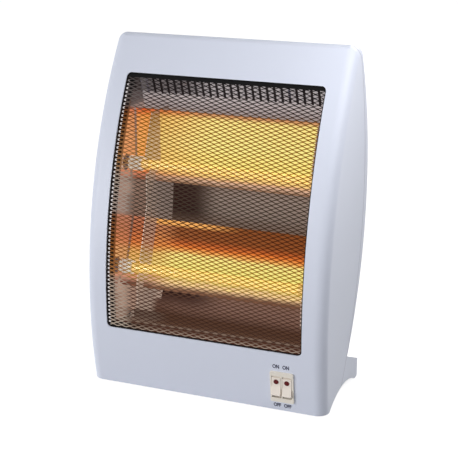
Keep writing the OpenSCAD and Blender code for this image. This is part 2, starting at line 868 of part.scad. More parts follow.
// A coil's route: a straight tail in each ceramic end and an even helix between them
function coil_path(p) = let (n = coil_turns * curl_rings, tail = end_len - tab_root)
  concat(
    [[end_x[0] - tail, p.x, p.y], [coil_x[0] - 5, p.x, p.y], [coil_x[0] - 2, p.x + coil_r * 0.5, p.y]],
    [for (k = [0:n]) let (a = 360 * k / curl_rings)
      [coil_x[0] + (coil_x[1] - coil_x[0]) * k / n, p.x + coil_r * cos(a), p.y + coil_r * sin(a)]],
    [[coil_x[1] + 2, p.x + coil_r * 0.5, p.y], [coil_x[1] + 5, p.x, p.y], [end_x[1] + tail, p.x, p.y]]
  );
// The least gap of a route to itself, measured between rings a good half curl apart
function least_gap(p, r) = min([for (i = [0:len(p) - 1], j = [i + 5:min(i + 12, len(p) - 1)])
  if (j < len(p)) norm(p[i] - p[j]) - 2 * r]);

module heating_coil(i) {
  path = coil_path(tubes[i]);
  echo("least gap between a heating coil's curls", least_gap(path, wire_r));
  color("orangered") swept_tube(path, wire_r, 6, [0, 0, 1]);
}

module heating_coil_upper() {
  heating_coil(0);
}

module heating_coil_lower() {
  heating_coil(1);
}

// Each ceramic end has a socket for its tube, a bore for the coil's tail and a slot for its tab.
module ceramic_end(p, s) {
  translate([end_x[s > 0 ? 1 : 0], p.x, p.y]) rotate([0, s * 90, 0]) difference() {
    union() {
      cylinder(r = end_r, h = end_len, $fn = round_fn);
      translate([0, 0, end_len]) cylinder(r = end_r - 2.5, h = stub_len, $fn = round_fn);
    }
    translate([0, 0, -1]) cylinder(r = tube_r + 0.05, h = socket_depth + 1, $fn = round_fn);
    cylinder(r = wire_r + 0.2, h = end_len, $fn = small_fn);
    translate([-tab_t / 2, -tab_w / 2, end_len - tab_root]) cube([tab_t, tab_w, end_len]);
    difference() {
      translate([0, 0, end_len / 2 + 3]) cylinder(r = end_r + 1, h = 2.4, $fn = round_fn);
      translate([0, 0, end_len / 2 + 2]) cylinder(r = end_r - 0.9, h = 5, $fn = round_fn);
    }
  }
}

module ceramic_ends() {
  color("ivory") for (p = tubes, s = [-1, 1]) ceramic_end(p, s);
}

// A flat push-on tab with its locating hole, from z = 0 up
module push_tab(len) {
  difference() {
    translate([-tab_t / 2, -tab_w / 2, 0]) cube([tab_t, tab_w, len]);
    translate([0, 0, len - 3]) rotate([0, 90, 0]) cylinder(r = 0.8, h = 4, center = true, $fn = small_fn);
  }
}

module element_terminals() {
  color("goldenrod") for (p = tubes, s = [-1, 1])
    translate([end_x[s > 0 ? 1 : 0] + s * (end_len - tab_root), p.x, p.y]) rotate([0, s * 90, 0])
      push_tab(tab_root + tab_out);
}

// Spring straps that hold the tubes in their notches and bear on the left faces of the plates
module tube_clips() {
  color("gray") for (i = [0, 1], x = support_x)
    from_x(x - sheet / 2 - clip_len, x - sheet / 2)
      translate(tubes[i]) rotate(-tilts[i]) difference() {
        union() {
          circle(r = tube_r + sheet, $fn = round_fn);
          translate([0, -tube_r - sheet]) square([tube_r + 4, 2 * (tube_r + sheet)]);
        }
        circle(r = tube_r, $fn = round_fn);
        translate([0, -tube_r]) square([tube_r + 5, 2 * tube_r]);
      }
}

/* Switch */

pin_y = 4;
pin_r = 1.2;
bay_w = rocker_w + 0.7;
bay_x = [-bay_w / 2 - 0.6, bay_w / 2 + 0.6];
switch_depth = 20;
rocker_mid = 6.2;
rocker_rise = 2.2;
face_tilt = atan(rocker_rise * 2 / rocker_h);
body_w = bezel_w - 2.8;
body_h = bezel_h - 4;
body_gap = 0.2;
// The flat bezel bears on a flat that is cut into the bowed face, down to nothing at its ends.
bezel_seat = front_r - sqrt(pow(front_r, 2) - pow(bezel_h / 2, 2));

module in_switch() {
  on_front(half_w - switch_inset, switch_z) translate([0, bezel_seat, 0]) children();
}

module switch_opening() {
  in_switch() {
    translate([0, wall / 2, 0]) cube([body_w + 2 * body_gap, 4 * wall, body_h + 2 * body_gap], center = true);
    along_y(-wall, 0) round_rect(bezel_w + 2 * body_gap, bezel_h + 2 * body_gap, 1.5 + body_gap);
  }
}

module switch_body() {
  color("cornsilk") in_switch() difference() {
    union() {
      along_y(-bezel_t, 0) round_rect(bezel_w, bezel_h, 1.5);
      translate([-body_w / 2, -bezel_t / 2, -body_h / 2]) cube([body_w, switch_depth + bezel_t / 2, body_h]);
      for (s = [0, 1]) mirror([0, 0, s]) along_x(8)
        polygon([[wall + 0.3, body_h / 2 - 1], [wall + 0.3, body_h / 2 + 1.2], [wall + 7, body_h / 2 - 1]]);
    }
    for (x = bay_x) {
      translate([x, 5, 0]) cube([bay_w, 16, rocker_h + 0.8], center = true);
      translate([x, pin_y, 0]) rotate([0, 90, 0])
        cylinder(r = pin_r + 0.05, h = bay_w + 0.9, center = true, $fn = small_fn);
    }
  }
}

// A rocker about its pin: a shallow V in front and round ends that clear the bay
module rocker2() {
  intersection() {
    circle(r = rocker_h / 2, $fn = round_fn);
    polygon([
      [-rocker_mid, 0], [-rocker_mid - rocker_rise, rocker_h / 2], [3, rocker_h / 2 - 4],
      [3, 4 - rocker_h / 2], [-rocker_mid - rocker_rise, -rocker_h / 2]
    ]);
  }
}

module on_rocker(i) {
  in_switch() translate([bay_x[i], pin_y, 0]) rotate([-rocker_tilt, 0, 0]) children();
}

lens_sink = 1.2;
lens_rise = 0.5;
module lens_seat() {
  translate([0, -rocker_mid - rocker_rise * 0.42, rocker_h * 0.21]) rotate([90 + face_tilt, 0, 0])
    translate([0, 0, -lens_sink]) cylinder(r = lens_r, h = lens_sink + lens_rise, $fn = small_fn);
}

module rocker(i) {
  color("ivory") on_rocker(i) difference() {
    union() {
      along_x(rocker_w) rocker2();
      rotate([0, 90, 0]) cylinder(r = pin_r, h = bay_w + 0.7, center = true, $fn = small_fn);
    }
    lens_seat();
  }
}

module lens(i) {
  color("firebrick") on_rocker(i) lens_seat();
}

module rocker_left() {
  rocker(0);
}

module rocker_right() {
  rocker(1);
}

module lens_left() {
  lens(0);
}

module lens_right() {
  lens(1);
}

switch_tab_z = [-9, 0];
switch_tab_len = 8;
// A point in the switch's own directions, which lean with the front face
function at_switch(x, y, z) = let (a = -front_tilt(switch_z))
  [half_w - switch_inset + x, y_front(switch_z) + y * cos(a) - z * sin(a), switch_z + y * sin(a) + z * cos(a)];

module switch_terminals() {
  color("goldenrod") in_switch() for (x = bay_x, z = switch_tab_z)
    translate([x, switch_depth, z]) rotate([-90, 90, 0]) push_tab(switch_tab_len);
}

/* Base */

plunger_gap = 0.5;
tip_y = y_front(0) + 30;
tip_h = 30;
tip_w = 24;
tip_foot = 2.4;
tip_screw_x = tip_w / 2 + 4;
collar_z = base_top + plunger_travel;
collar_h = 2;

module tip_switch() {
  color("black") translate([0, tip_y, base_top]) difference() {
    union() {
      translate([0, 0, tip_h / 2]) cube([tip_w, 16, tip_h], center = true);
      translate([0, 0, tip_foot / 2]) cube([tip_w + 16, 16, tip_foot], center = true);
    }
    translate([0, 0, -1]) cylinder(r = plunger_r + 2.6, h = plunger_travel + 14, $fn = round_fn);
    for (s = [-1, 1]) translate([s * tip_screw_x, 0, -1]) cylinder(r = screw_r + 0.2, h = 5, $fn = small_fn);
  }
}

module tip_plunger() {
  color("white") translate([0, tip_y, 0]) rotate_extrude($fn = round_fn) polygon([
    [0, 0], [plunger_r - 1, 0], [plunger_r, 1], [plunger_r, collar_z], [plunger_r + 2, collar_z],
    [plunger_r + 2, collar_z + collar_h], [2, collar_z + collar_h], [2, collar_z + collar_h + 4],
    [0, collar_z + collar_h + 4]
  ]);
}

spring_turns = 5;
spring_r = plunger_r + 0.8;
spring_wire = 0.4;
module tip_spring() {
  z0 = collar_z + collar_h + spring_wire;
  z1 = base_top + plunger_travel + 13 - spring_wire;
  n = spring_turns * curl_rings;
  path = [for (k = [0:n]) let (a = 360 * k / curl_rings)
    [spring_r * cos(a), tip_y + spring_r * sin(a), z0 + (z1 - z0) * k / n]];
  echo("least gap between the tip spring's curls", least_gap(path, spring_wire));
  color("silver") swept_tube(path, spring_wire, 6, [0, 0, 1]);
}

cutout_z = upper_tube.y + 8;
cutout_screw_x = 12;
module at_cutout() {
  translate([0, rear_c.x, rear_c.y]) rotate([asin((cutout_z - rear_c.y) / shield_r), 0, 0])
    translate([0, shield_r, 0]) rotate([-90, 0, 0]) children();
}

module thermal_cutout() {
  color("silver") at_cutout() difference() {
    union() {
      linear_extrude(sheet) slot2(2 * cutout_screw_x + 9, 9);
      cylinder(r = 8, h = 5, $fn = round_fn);
      cylinder(r = 6.5, h = 10, $fn = round_fn);
      for (s = [-1, 1]) translate([s * 3.5, 0, 10]) push_tab(7);
    }
    for (s = [-1, 1]) translate([s * cutout_screw_x, 0, -1]) cylinder(r = screw_r + 0.2, h = 4, $fn = small_fn);
  }
}

block_x = 52;
module terminal_block() {
  color("ivory") translate([block_x, tip_y, base_top]) difference() {
    union() {
      translate([0, 0, 2]) cube([34, 18, 4], center = true);
      for (i = [-1:1]) translate([i * 10, 0, 8]) cube([8.4, 14, 10], center = true);
    }
    for (i = [-1:1]) {
      translate([i * 10, 0, 7]) rotate([90, 0, 0]) cylinder(r = 1.8, h = 30, center = true, $fn = small_fn);
      for (y = [-4, 4]) translate([i * 10, y, 8]) cylinder(r = 1.7, h = 8, $fn = small_fn);
    }
  }
}

// Rounds the corners of a route by cutting each one off, twice, and keeps its ends
function cut_corners(p) = concat([p[0]], [for (i = [0:len(p) - 2])
  each [p[i] * 0.75 + p[i + 1] * 0.25, p[i] * 0.25 + p[i + 1] * 0.75]], [p[len(p) - 1]]);

// Each internal lead leaves the rear edge of a tab and runs down beside the inner box. The points
// between its ends are set by hand.
lead_r = 1.2;
lane_x = window_w / 2 + 4.5;
function off_tab(i, s) =
  let (x = end_x[s > 0 ? 1 : 0] + s * (end_len + tab_out - lead_r - 0.1), p = tubes[i] + [tab_w / 2, 0])
  [[x, p.x, p.y], [x, p.x + 7, p.y], [s * lane_x, p.x + 14, p.y - 12]];
function switch_end(i, k) = at_switch(bay_x[i], bezel_seat + switch_depth + switch_tab_len, switch_tab_z[k]);
leads = [
  concat(off_tab(0, 1), [[lane_x, -2, 190], [lane_x, -10, 80], [lane_x, -20, 54], [94, -16, 44],
    switch_end(1, 1) + [0, 8, 1.6], switch_end(1, 1)]),
  concat(off_tab(1, 1), [[lane_x, -26, 100], [lane_x, -26, 56], [82, -20, 42],
    switch_end(0, 1) + [0, 8, 1.6], switch_end(0, 1)]),
  concat(off_tab(0, -1), [[-lane_x, -2, 190], [-lane_x, -10, 80], [-lane_x, -20, 52], [-60, -18, 50],
    [-16, tip_y + 4, 60], [-5, tip_y, 60], [-5, tip_y, base_top + tip_h]]),
  concat(off_tab(1, -1), [[-lane_x, -26, 100], [-lane_x, -30, 56], [-50, -36, 44],
    [-14, tip_y - 6, 54], [5, tip_y, 58], [5, tip_y, base_top + tip_h]])
];

module wiring() {
  color("saddlebrown") for (p = leads) swept_tube(cut_corners(cut_corners(p)), lead_r, 6, [0, 1, 0.2]);
}

bush_x = -half_w + 60;
bush_z = 48;
bush_bore = 3.4;
bush_neck = 5.8;
// A snap-in bush: its groove holds the rear wall between two flanges.
module cord_bush() {
  color("dimgray") on_rear(bush_x, bush_z) rotate_extrude($fn = round_fn) polygon([
    [bush_bore, -wall - 3], [bush_neck + 0.8, -wall - 3], [bush_neck + 1.4, -wall - 0.15],
    [bush_neck, -wall - 0.15], [bush_neck, 0], [bush_neck + 2, 0], [bush_neck + 1, 2.5], [bush_bore, 2.5]
  ]);
}

/* Fixings */

module screw_y(x, z, y, len) {
  translate([x, y, z]) rotate([90, 0, 0]) difference() {
    union() {
      cylinder(r = screw_r - 0.25, h = len, $fn = small_fn);
      translate([0, 0, -head_h]) cylinder(r = head_r, h = head_h, $fn = small_fn);
    }
    for (a = [0, 90]) rotate(a) translate([0, 0, -head_h]) cube([3.4, 0.8, 1.6], center = true);
  }
}

module cover_screws() {
  color("gray") for (s = [-1, 1], z = boss_z) screw_y(s * boss_x, z, y_seam(z) + 4, 14);
}

module shield_screws() {
  color("gray") at_cutout() for (s = [-1, 1])
    translate([s * cutout_screw_x, 0, sheet]) rotate([90, 0, 0]) screw_y(0, 0, 0, 4);
  color("gray") for (s = [-1, 1], z = ear_z) screw_y(s * ear_x, z, y_shield(z) + sheet, 10);
}

module base_screws() {
  color("gray") {
    for (p = base_screws_at) translate([p.x, p.y, base_z]) rotate([-90, 0, 0]) screw_y(0, 0, 0, 10);
    for (s = [-1, 1]) translate([s * tip_screw_x, tip_y, base_top + tip_foot])
      rotate([90, 0, 0]) screw_y(0, 0, 0, 5);
  }
}

front_shell();
rear_cover();
base_plate();
rubber_feet();
grille();
grille_frame();
heat_shield();
side_wall_left();
side_wall_right();
baffle();
reflector_upper();
reflector_lower();
tube_support_left();
tube_support_right();
quartz_tube_upper();
quartz_tube_lower();
heating_coil_upper();
heating_coil_lower();
ceramic_ends();
element_terminals();
tube_clips();
switch_body();
rocker_left();
rocker_right();
lens_left();
lens_right();
switch_terminals();
tip_switch();
tip_plunger();
tip_spring();
thermal_cutout();
terminal_block();
wiring();
cord_bush();
cover_screws();
shield_screws();
base_screws();
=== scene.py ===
# %% [markdown]
# # A two-bar halogen heater
# The casing, the inner sheet metal, the switch and everything that moves come from the CAD frame.
# This notebook gives each of them its finish, with the glow of the tubes and the shade inside the heater painted
# into the surfaces, weaves the fine wire guard, winds the glowing coils, letters the switch, and sets up the studio.
# Every length below is in metres, in the CAD's own frame: X runs across the front, Y from front to back, Z up, and
# the floor is at Z = 0.

# %% Load the CAD frame
import bpy
import math
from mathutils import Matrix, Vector


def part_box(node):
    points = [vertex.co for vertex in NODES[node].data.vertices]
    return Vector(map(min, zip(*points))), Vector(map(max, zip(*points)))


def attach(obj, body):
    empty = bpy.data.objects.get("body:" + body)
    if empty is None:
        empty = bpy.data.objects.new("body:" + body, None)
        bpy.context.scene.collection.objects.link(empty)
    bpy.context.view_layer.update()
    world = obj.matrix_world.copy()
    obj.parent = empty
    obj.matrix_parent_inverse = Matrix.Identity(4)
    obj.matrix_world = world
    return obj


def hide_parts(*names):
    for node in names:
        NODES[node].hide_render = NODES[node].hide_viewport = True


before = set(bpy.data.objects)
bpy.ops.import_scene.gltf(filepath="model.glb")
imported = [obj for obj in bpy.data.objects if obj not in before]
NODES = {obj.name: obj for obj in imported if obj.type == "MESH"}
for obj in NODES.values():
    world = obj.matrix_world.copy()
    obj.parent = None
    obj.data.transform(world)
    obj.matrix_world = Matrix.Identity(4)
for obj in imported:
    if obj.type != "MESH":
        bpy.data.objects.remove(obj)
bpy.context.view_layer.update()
MM = 0.001


def in_mm(values):
    """Lengths in millimetres, rounded for a print."""
    return [round(value / MM, 1) for value in values]


# %% [markdown]
# ## Camera
# The photograph was taken from the right of the heater and from above it, with a fairly long lens:
# the upright edges hardly lean together. The camera's place was worked out from the corners of the window
# and the outline of the casing, so it is written as a point, a target and a lens length.

# %% Camera
camera_data = bpy.data.cameras.new("studio_camera")
camera_data.lens, camera_data.sensor_width = 95.87, 36.0
camera = bpy.data.objects.new("studio_camera", camera_data)
camera.location = (0.4544, -1.1245, 0.5475)
target = Vector((0.02664, -0.0615, 0.18673))
camera.rotation_euler = (target - camera.location).to_track_quat("-Z", "Y").to_euler()
bpy.context.scene.collection.objects.link(camera)
bpy.context.scene.camera = camera
bpy.context.scene.view_settings.view_transform = "Standard"
print("camera is", round((target - camera.location).length, 3), "m from its target")

# %% [markdown]
# ## Small helpers for building node trees
# A material is a graph. `Tree` keeps the code that draws the graph short: `add` makes a node and fills its
# sockets, and any socket value that is itself an output becomes a link.

# %% Node helpers
class Tree:
    """Writes nodes into a shader or geometry node tree."""

    def __init__(self, tree):
        self.tree = tree

    def add(self, kind, inputs=None, **settings):
        node = self.tree.nodes.new(kind)
        for name, value in settings.items():
            setattr(node, name, value)
        for key, value in (inputs or {}).items():
            socket = node.inputs[key]
            if isinstance(value, bpy.types.NodeSocket):
                self.link(value, socket)
            else:
                socket.default_value = value
        return node

    def math(self, operation, a, b=0.0, c=0.0, clamp=False):
        return self.add("ShaderNodeMath", {0: a, 1: b, 2: c}, operation=operation, use_clamp=clamp).outputs[0]

    def link(self, output, socket):
        self.tree.links.new(output, socket)


def srgb(r, g, b):
    """A colour written as a painter reads it off a chart, 0 to 255, turned into light."""
    def light(v):
        v /= 255
        return v / 12.92 if v <= 0.04045 else ((v + 0.055) / 1.055) ** 2.4
    return (light(r), light(g), light(b), 1.0)


def group(name, inputs, outputs):
    """An empty shader group with named sockets: (name, type, value) for inputs, (name, type) for outputs."""
    tree = bpy.data.node_groups.new(name, "ShaderNodeTree")
    for socket, kind, value in inputs:
        made = tree.interface.new_socket(socket, in_out="INPUT", socket_type=kind)
        made.default_value = value
    for socket, kind in outputs:
        tree.interface.new_socket(socket, in_out="OUTPUT", socket_type=kind)
    t = Tree(tree)
    return t, t.add("NodeGroupInput").outputs, t.add("NodeGroupOutput").inputs


FLOAT, COLOUR, VECTOR = "NodeSocketFloat", "NodeSocketColor", "NodeSocketVector"
print("helpers ready")

# %% [markdown]
# ## Finish 1: moulded grain
# Moulded plastic is never perfectly even. The mould's etched texture leaves a fine grain, the pigment mottles
# a little, and the gloss varies with it. One group holds the effect; each plastic sets its own values.

# %% Group: moulded grain
t, i, o = group(
    "moulded_grain",
    [("Color", COLOUR, (0.8, 0.8, 0.8, 1)), ("Grain Scale", FLOAT, 1800.0), ("Mottle", FLOAT, 0.03),
     ("Roughness", FLOAT, 0.4), ("Gloss Variation", FLOAT, 0.08)],
    [("Color", COLOUR), ("Roughness", FLOAT), ("Height", FLOAT)],
)
place = t.add("ShaderNodeTexCoord").outputs["Object"]
fine = t.add("ShaderNodeTexNoise", {"Vector": place, "Scale": i["Grain Scale"], "Detail": 2.0, "Roughness": 0.6})
cloudy = t.add("ShaderNodeTexNoise", {"Vector": place, "Scale": 14.0, "Detail": 3.0, "Roughness": 0.55})
offset = t.math("SUBTRACT", cloudy.outputs["Fac"], 0.5)
value = t.math("MULTIPLY_ADD", offset, i["Mottle"], 1.0)
tinted = t.add("ShaderNodeVectorMath", {0: i["Color"], "Scale": value}, operation="SCALE")
t.link(tinted.outputs[0], o["Color"])
t.link(t.math("MULTIPLY_ADD", offset, i["Gloss Variation"], i["Roughness"]), o["Roughness"])
t.link(fine.outputs["Fac"], o["Height"])
MOULDED_GRAIN = t.tree
print("group", MOULDED_GRAIN.name)

# %% [markdown]
# ## Finish 2: rolled sheet
# Sheet metal keeps faint streaks from the rolling mill, all in one direction. The group stretches a noise along
# that direction, so a highlight breaks up into soft lines as it does on the real thing.

# %% Group: rolled sheet
t, i, o = group(
    "rolled_sheet",
    [("Color", COLOUR, (0.8, 0.8, 0.8, 1)), ("Stretch", VECTOR, (4.0, 300.0, 300.0)), ("Streaks", FLOAT, 0.1),
     ("Roughness", FLOAT, 0.25), ("Gloss Variation", FLOAT, 0.1)],
    [("Color", COLOUR), ("Roughness", FLOAT), ("Height", FLOAT)],
)
place = t.add("ShaderNodeTexCoord").outputs["Object"]
stretched = t.add("ShaderNodeVectorMath", {0: place, 1: i["Stretch"]}, operation="MULTIPLY").outputs[0]
streak = t.add("ShaderNodeTexNoise", {"Vector": stretched, "Scale": 1.0, "Detail": 3.0, "Roughness": 0.6})
offset = t.math("SUBTRACT", streak.outputs["Fac"], 0.5)
value = t.math("MULTIPLY_ADD", offset, i["Streaks"], 1.0)
tinted = t.add("ShaderNodeVectorMath", {0: i["Color"], "Scale": value}, operation="SCALE")
t.link(tinted.outputs[0], o["Color"])
t.link(t.math("MULTIPLY_ADD", offset, i["Gloss Variation"], i["Roughness"]), o["Roughness"])
t.link(streak.outputs["Fac"], o["Height"])
ROLLED_SHEET = t.tree
print("group", ROLLED_SHEET.name)

# %% [markdown]
# ## Making a material
# `finish` starts a material with a Principled shader and hands back a `Tree` for the rest. `plastic` and
# `sheet_metal` place the groups above, with values for one finish each. Values that are the same all over
# the surface, such as the index of refraction, sit on the shader's own sockets.

# %% Material helpers
def finish(name, **sockets):
    material = bpy.data.materials.new(name)
    material.use_nodes = True
    tree = material.node_tree
    shader = next(n for n in tree.nodes if n.type == "BSDF_PRINCIPLED")
    for socket, value in sockets.items():
        shader.inputs[socket.replace("_", " ")].default_value = value
    return material, Tree(tree), shader


def surface(t, shader, made, bump, distance):
    """Joins a group's colour, roughness and height to the shader."""
    t.link(made.outputs["Color"], shader.inputs["Base Color"])
    t.link(made.outputs["Roughness"], shader.inputs["Roughness"])
    bumped = t.add("ShaderNodeBump", {"Strength": bump, "Distance": distance, "Height": made.outputs["Height"]})
    t.link(bumped.outputs["Normal"], shader.inputs["Normal"])


def plastic(name, colour, rough=0.42, grain=1800.0, mottle=0.03, bump=0.08, **sockets):
    material, t, shader = finish(name, **sockets)
    made = t.add("ShaderNodeGroup", node_tree=MOULDED_GRAIN)
    for key, value in {"Color": colour, "Grain Scale": grain, "Mottle": mottle, "Roughness": rough}.items():
        made.inputs[key].default_value = value
    surface(t, shader, made, bump, 0.0002)
    return material, t, shader, made


def sheet_metal(name, colour, rough=0.28, stretch=(4.0, 300.0, 300.0), streaks=0.12, bump=0.05, metallic=1.0,
                **sockets):
    material, t, shader = finish(name, Metallic=metallic, **sockets)
    made = t.add("ShaderNodeGroup", node_tree=ROLLED_SHEET)
    for key, value in {"Color": colour, "Stretch": stretch, "Streaks": streaks, "Roughness": rough}.items():
        made.inputs[key].default_value = value
    surface(t, shader, made, bump, 0.0001)
    return material, t, shader, made


def position(t):
    """The X, Y and Z of a point on the part."""
    place = t.add("ShaderNodeTexCoord").outputs["Object"]
    return t.add("ShaderNodeSeparateXYZ", {0: place}).outputs


def fade(t, value, start, end):
    """0 at start and 1 at end, with a soft step between; start and end are in millimetres."""
    return t.add("ShaderNodeMapRange", {"Value": value, "From Min": start * MM, "From Max": end * MM},
                 interpolation_type="SMOOTHSTEP").outputs[0]


def ramp(t, value, stops):
    """Colours along a length: each stop is (millimetres, (red, green, blue))."""
    low, high = stops[0][0], stops[-1][0]
    factor = t.add("ShaderNodeMapRange", {"Value": value, "From Min": low * MM, "From Max": high * MM}).outputs[0]
    made = t.add("ShaderNodeValToRGB", {0: factor})
    while len(made.color_ramp.elements) < len(stops):
        made.color_ramp.elements.new(0.5)
    for element, (place, colour) in zip(made.color_ramp.elements, stops):
        element.position = (place - low) / (high - low)
        element.color = srgb(*colour)
    return made.outputs["Color"]


def mix(t, factor, a, b, blend="MIX"):
    """Colour a where the factor is 0 and colour b where it is 1."""
    return t.add("ShaderNodeMix", {0: factor, 6: a, 7: b}, data_type="RGBA", blend_type=blend).outputs[2]


def tint(t, colour, filter_colour):
    """A colour seen through, or mirrored in, something of another colour."""
    return mix(t, 1.0, colour, filter_colour, "MULTIPLY")


def from_axis(t, y, z, axis_y, axis_z):
    """How far a point lies from an axis that runs along X."""
    arm = t.add("ShaderNodeCombineXYZ", {1: t.math("SUBTRACT", y, axis_y), 2: t.math("SUBTRACT", z, axis_z)})
    return t.add("ShaderNodeVectorMath", {0: arm.outputs[0]}, operation="LENGTH").outputs["Value"]


def between(t, value, *limits):
    """1 between two fades: limits are start, full, full, end in millimetres."""
    return t.math("MULTIPLY", fade(t, value, *limits[:2]), fade(t, value, *limits[2:][::-1]))


def lit_by(t, shader, colour, strength):
    """Adds the light a part picks up from the tubes, as a soft glow of its own."""
    t.link(colour, shader.inputs["Emission Color"])
    shader.inputs["Emission Strength"].default_value = strength


BLACK = (0, 0, 0, 1)


def dress(material, *nodes):
    """Gives a CAD node's own material slots a better material."""
    for node in nodes:
        for slot in NODES[node].material_slots:
            slot.material = material
    print(material.name, "->", ", ".join(nodes))


# %% [markdown]
# ## Where the tubes are
# Every glow below is measured from a tube's axis, so the axes are read from the CAD's own tubes.

# %% Tube axes
def axis(node):
    low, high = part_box(node)
    return (low[1] + high[1]) / 2, (low[2] + high[2]) / 2


UPPER, LOWER = TUBES = axis("quartz_tube_upper"), axis("quartz_tube_lower")
LEFT_PLATE, RIGHT_PLATE = -78.0, 101.0  # X of the faces that the end plates turn to the glow, in millimetres
print("tube axes (mm):", [in_mm(tube) for tube in TUBES])

# %% [markdown]
# ## The casing
# The two halves of the casing are injection moulded in a cool white plastic with a satin skin. The seam between
# them collects shadow, so a narrow band along the seam's arc is drawn a shade darker. The arc is the CAD's: the
# distance of a point from the arc's centre, seen from the side, tells how far it is from the seam. The rear
# cover's inner face, behind the vent slots of the back plate, is unlit, so painted shade draws it nearly black.
# Behind the holes that the tubes' terminals pass through, the side of the casing is painted with their glow.

# %% Casing plastic
# The seam's arc and the rear cover's bow, seen from the side: centre and radius in metres.
SEAM_Y, SEAM_Z, SEAM_R = -0.3082, 0.2163, 0.361
REAR_Y, REAR_Z, REAR_R = -0.2408, 0.2133, 0.3124
# The seam's shadow grows between these two distances from the arc, in millimetres.
SEAM_BAND, SEAM_DARKNESS = (0.9, 0.4), 0.45
# The inner face that gets the painted shade lies in a layer inside the bow, below a height and within a half width.
SHADE_LAYER_MIDDLE, SHADE_LAYER_HALF, SHADE_LAYER_TOP, SHADE_LAYER_SIDE = REAR_R - 0.017, 0.0164, 0.345, 0.112
# The left side's inner face, and how far from a tube's axis its terminal lights it.
SIDE_X, SIDE_HALF, TERMINAL_REACH = -0.125, 0.0045, 0.02
casing, t, shader, made = plastic("satin_casing_plastic", srgb(223, 228, 243), rough=0.38, grain=2600.0, bump=0.05,
                                  Specular_IOR_Level=0.3)
x, y, z = position(t)
facing = t.add("ShaderNodeSeparateXYZ", {0: t.add("ShaderNodeTexCoord").outputs["Normal"]}).outputs
off_seam = t.math("ABSOLUTE", t.math("SUBTRACT", from_axis(t, y, z, SEAM_Y, SEAM_Z), SEAM_R))
in_seam = t.add("ShaderNodeMapRange", {"Value": off_seam, "From Min": SEAM_BAND[0] * MM, "From Max": SEAM_BAND[1] * MM})
shaded = mix(t, t.math("MULTIPLY", in_seam.outputs[0], SEAM_DARKNESS), made.outputs["Color"], srgb(120, 112, 140))
near_rear = t.math("COMPARE", from_axis(t, y, z, REAR_Y, REAR_Z), SHADE_LAYER_MIDDLE, SHADE_LAYER_HALF)
shaded_inner_face = t.math("MULTIPLY", near_rear, t.math("LESS_THAN", facing[1], -0.2))
in_box = t.math("MULTIPLY", t.math("LESS_THAN", z, SHADE_LAYER_TOP), t.math("COMPARE", x, 0.0, SHADE_LAYER_SIDE))
# Painted shade: the unlit inner face of the rear cover is drawn dark grey.
t.link(mix(t, t.math("MULTIPLY", shaded_inner_face, in_box), shaded, srgb(58, 50, 50)), shader.inputs["Base Color"])
# Painted light: the side of the casing behind the terminals glows with their light.
rings = [t.math("LESS_THAN", from_axis(t, y, z, *tube), TERMINAL_REACH) for tube in TUBES]
by_terminal = t.math("MULTIPLY", t.math("ADD", *rings), t.math("COMPARE", x, SIDE_X, SIDE_HALF))
glows = t.math("MULTIPLY", by_terminal, t.math("GREATER_THAN", facing[0], 0.5))
lit_by(t, shader, mix(t, glows, BLACK, srgb(206, 150, 110)), 0.8)
dress(casing, "front_shell", "rear_cover")

# %% [markdown]
# ## Base, feet and inlet bush
# The base plate is a plainer grey moulding with a coarser grain. The feet are soft rubber: rough, dark and a
# little dusty. The bush that would hold the flex is a firm black nylon.

# %% Base, feet and bush
dress(plastic("grey_base_plastic", srgb(176, 178, 184), rough=0.5, grain=1200.0, bump=0.15)[0], "base_plate")
dress(plastic("foot_rubber", srgb(46, 46, 48), rough=0.75, grain=900.0, mottle=0.25, bump=0.3)[0], "rubber_feet")
dress(plastic("bush_nylon", srgb(36, 36, 38), rough=0.45, grain=1500.0, mottle=0.15)[0], "cord_bush")

# %% [markdown]
# ## The window's steel frame
# The window is lined with a ring of steel, painted black with a heat-proof paint. Paint over steel is smooth,
# with a soft orange-peel swell that a low, broad noise gives. It is nearly matt, so it stays black beside the glow.
# The paint is sprayed from the front, so it ends about 15 mm in; the bare sheet behind it, and the sill along the
# bottom, are painted with the glow of the troughs, as their colour and as a light of their own. How deep a point
# lies is measured from the arc of the casing's bow.

# %% Frame paint
# The casing's front bow, seen from the side: centre and radius in metres.
FRONT_Y, FRONT_Z, FRONT_R = 0.3868, 0.0929, 0.4584
PAINT_BLACK = srgb(10, 9, 10)
BARE_SHEET_GLOW = [(66, (104, 58, 42)), (69, (76, 48, 38)), (72, (60, 46, 40)), (108, (80, 62, 52)), (120, (128, 84, 58)),
          (150, (134, 84, 52)), (172, (90, 62, 48)), (188, (52, 44, 40)), (216, (56, 46, 42)), (230, (128, 86, 58)),
          (280, (134, 88, 54)), (300, (52, 46, 44))]
paint, t, shader, made = plastic("black_stove_paint", PAINT_BLACK, rough=0.5, grain=420.0, mottle=0.3, bump=0.12,
                                 Specular_IOR_Level=0.1)
x, y, z = position(t)
depth = t.math("SUBTRACT", FRONT_R, from_axis(t, y, z, FRONT_Y, FRONT_Z))
behind = t.math("MULTIPLY", fade(t, depth, 14, 17), fade(t, z, 310, 300))
sill = t.math("MULTIPLY", fade(t, z, 69.5, 68.5), t.math("MULTIPLY", fade(t, depth, 1.5, 3), fade(t, x, -100, -40)))
bare = t.math("MAXIMUM", behind, sill)
# Painted light: the bare sheet and the sill take the troughs' glow, as their colour and as a light of their own.
glow_on_bare = ramp(t, z, BARE_SHEET_GLOW)
t.link(mix(t, bare, PAINT_BLACK, tint(t, glow_on_bare, srgb(200, 200, 200))), made.inputs["Color"])
lit_by(t, shader, mix(t, bare, BLACK, glow_on_bare), 0.5)
dress(paint, "grille_frame")
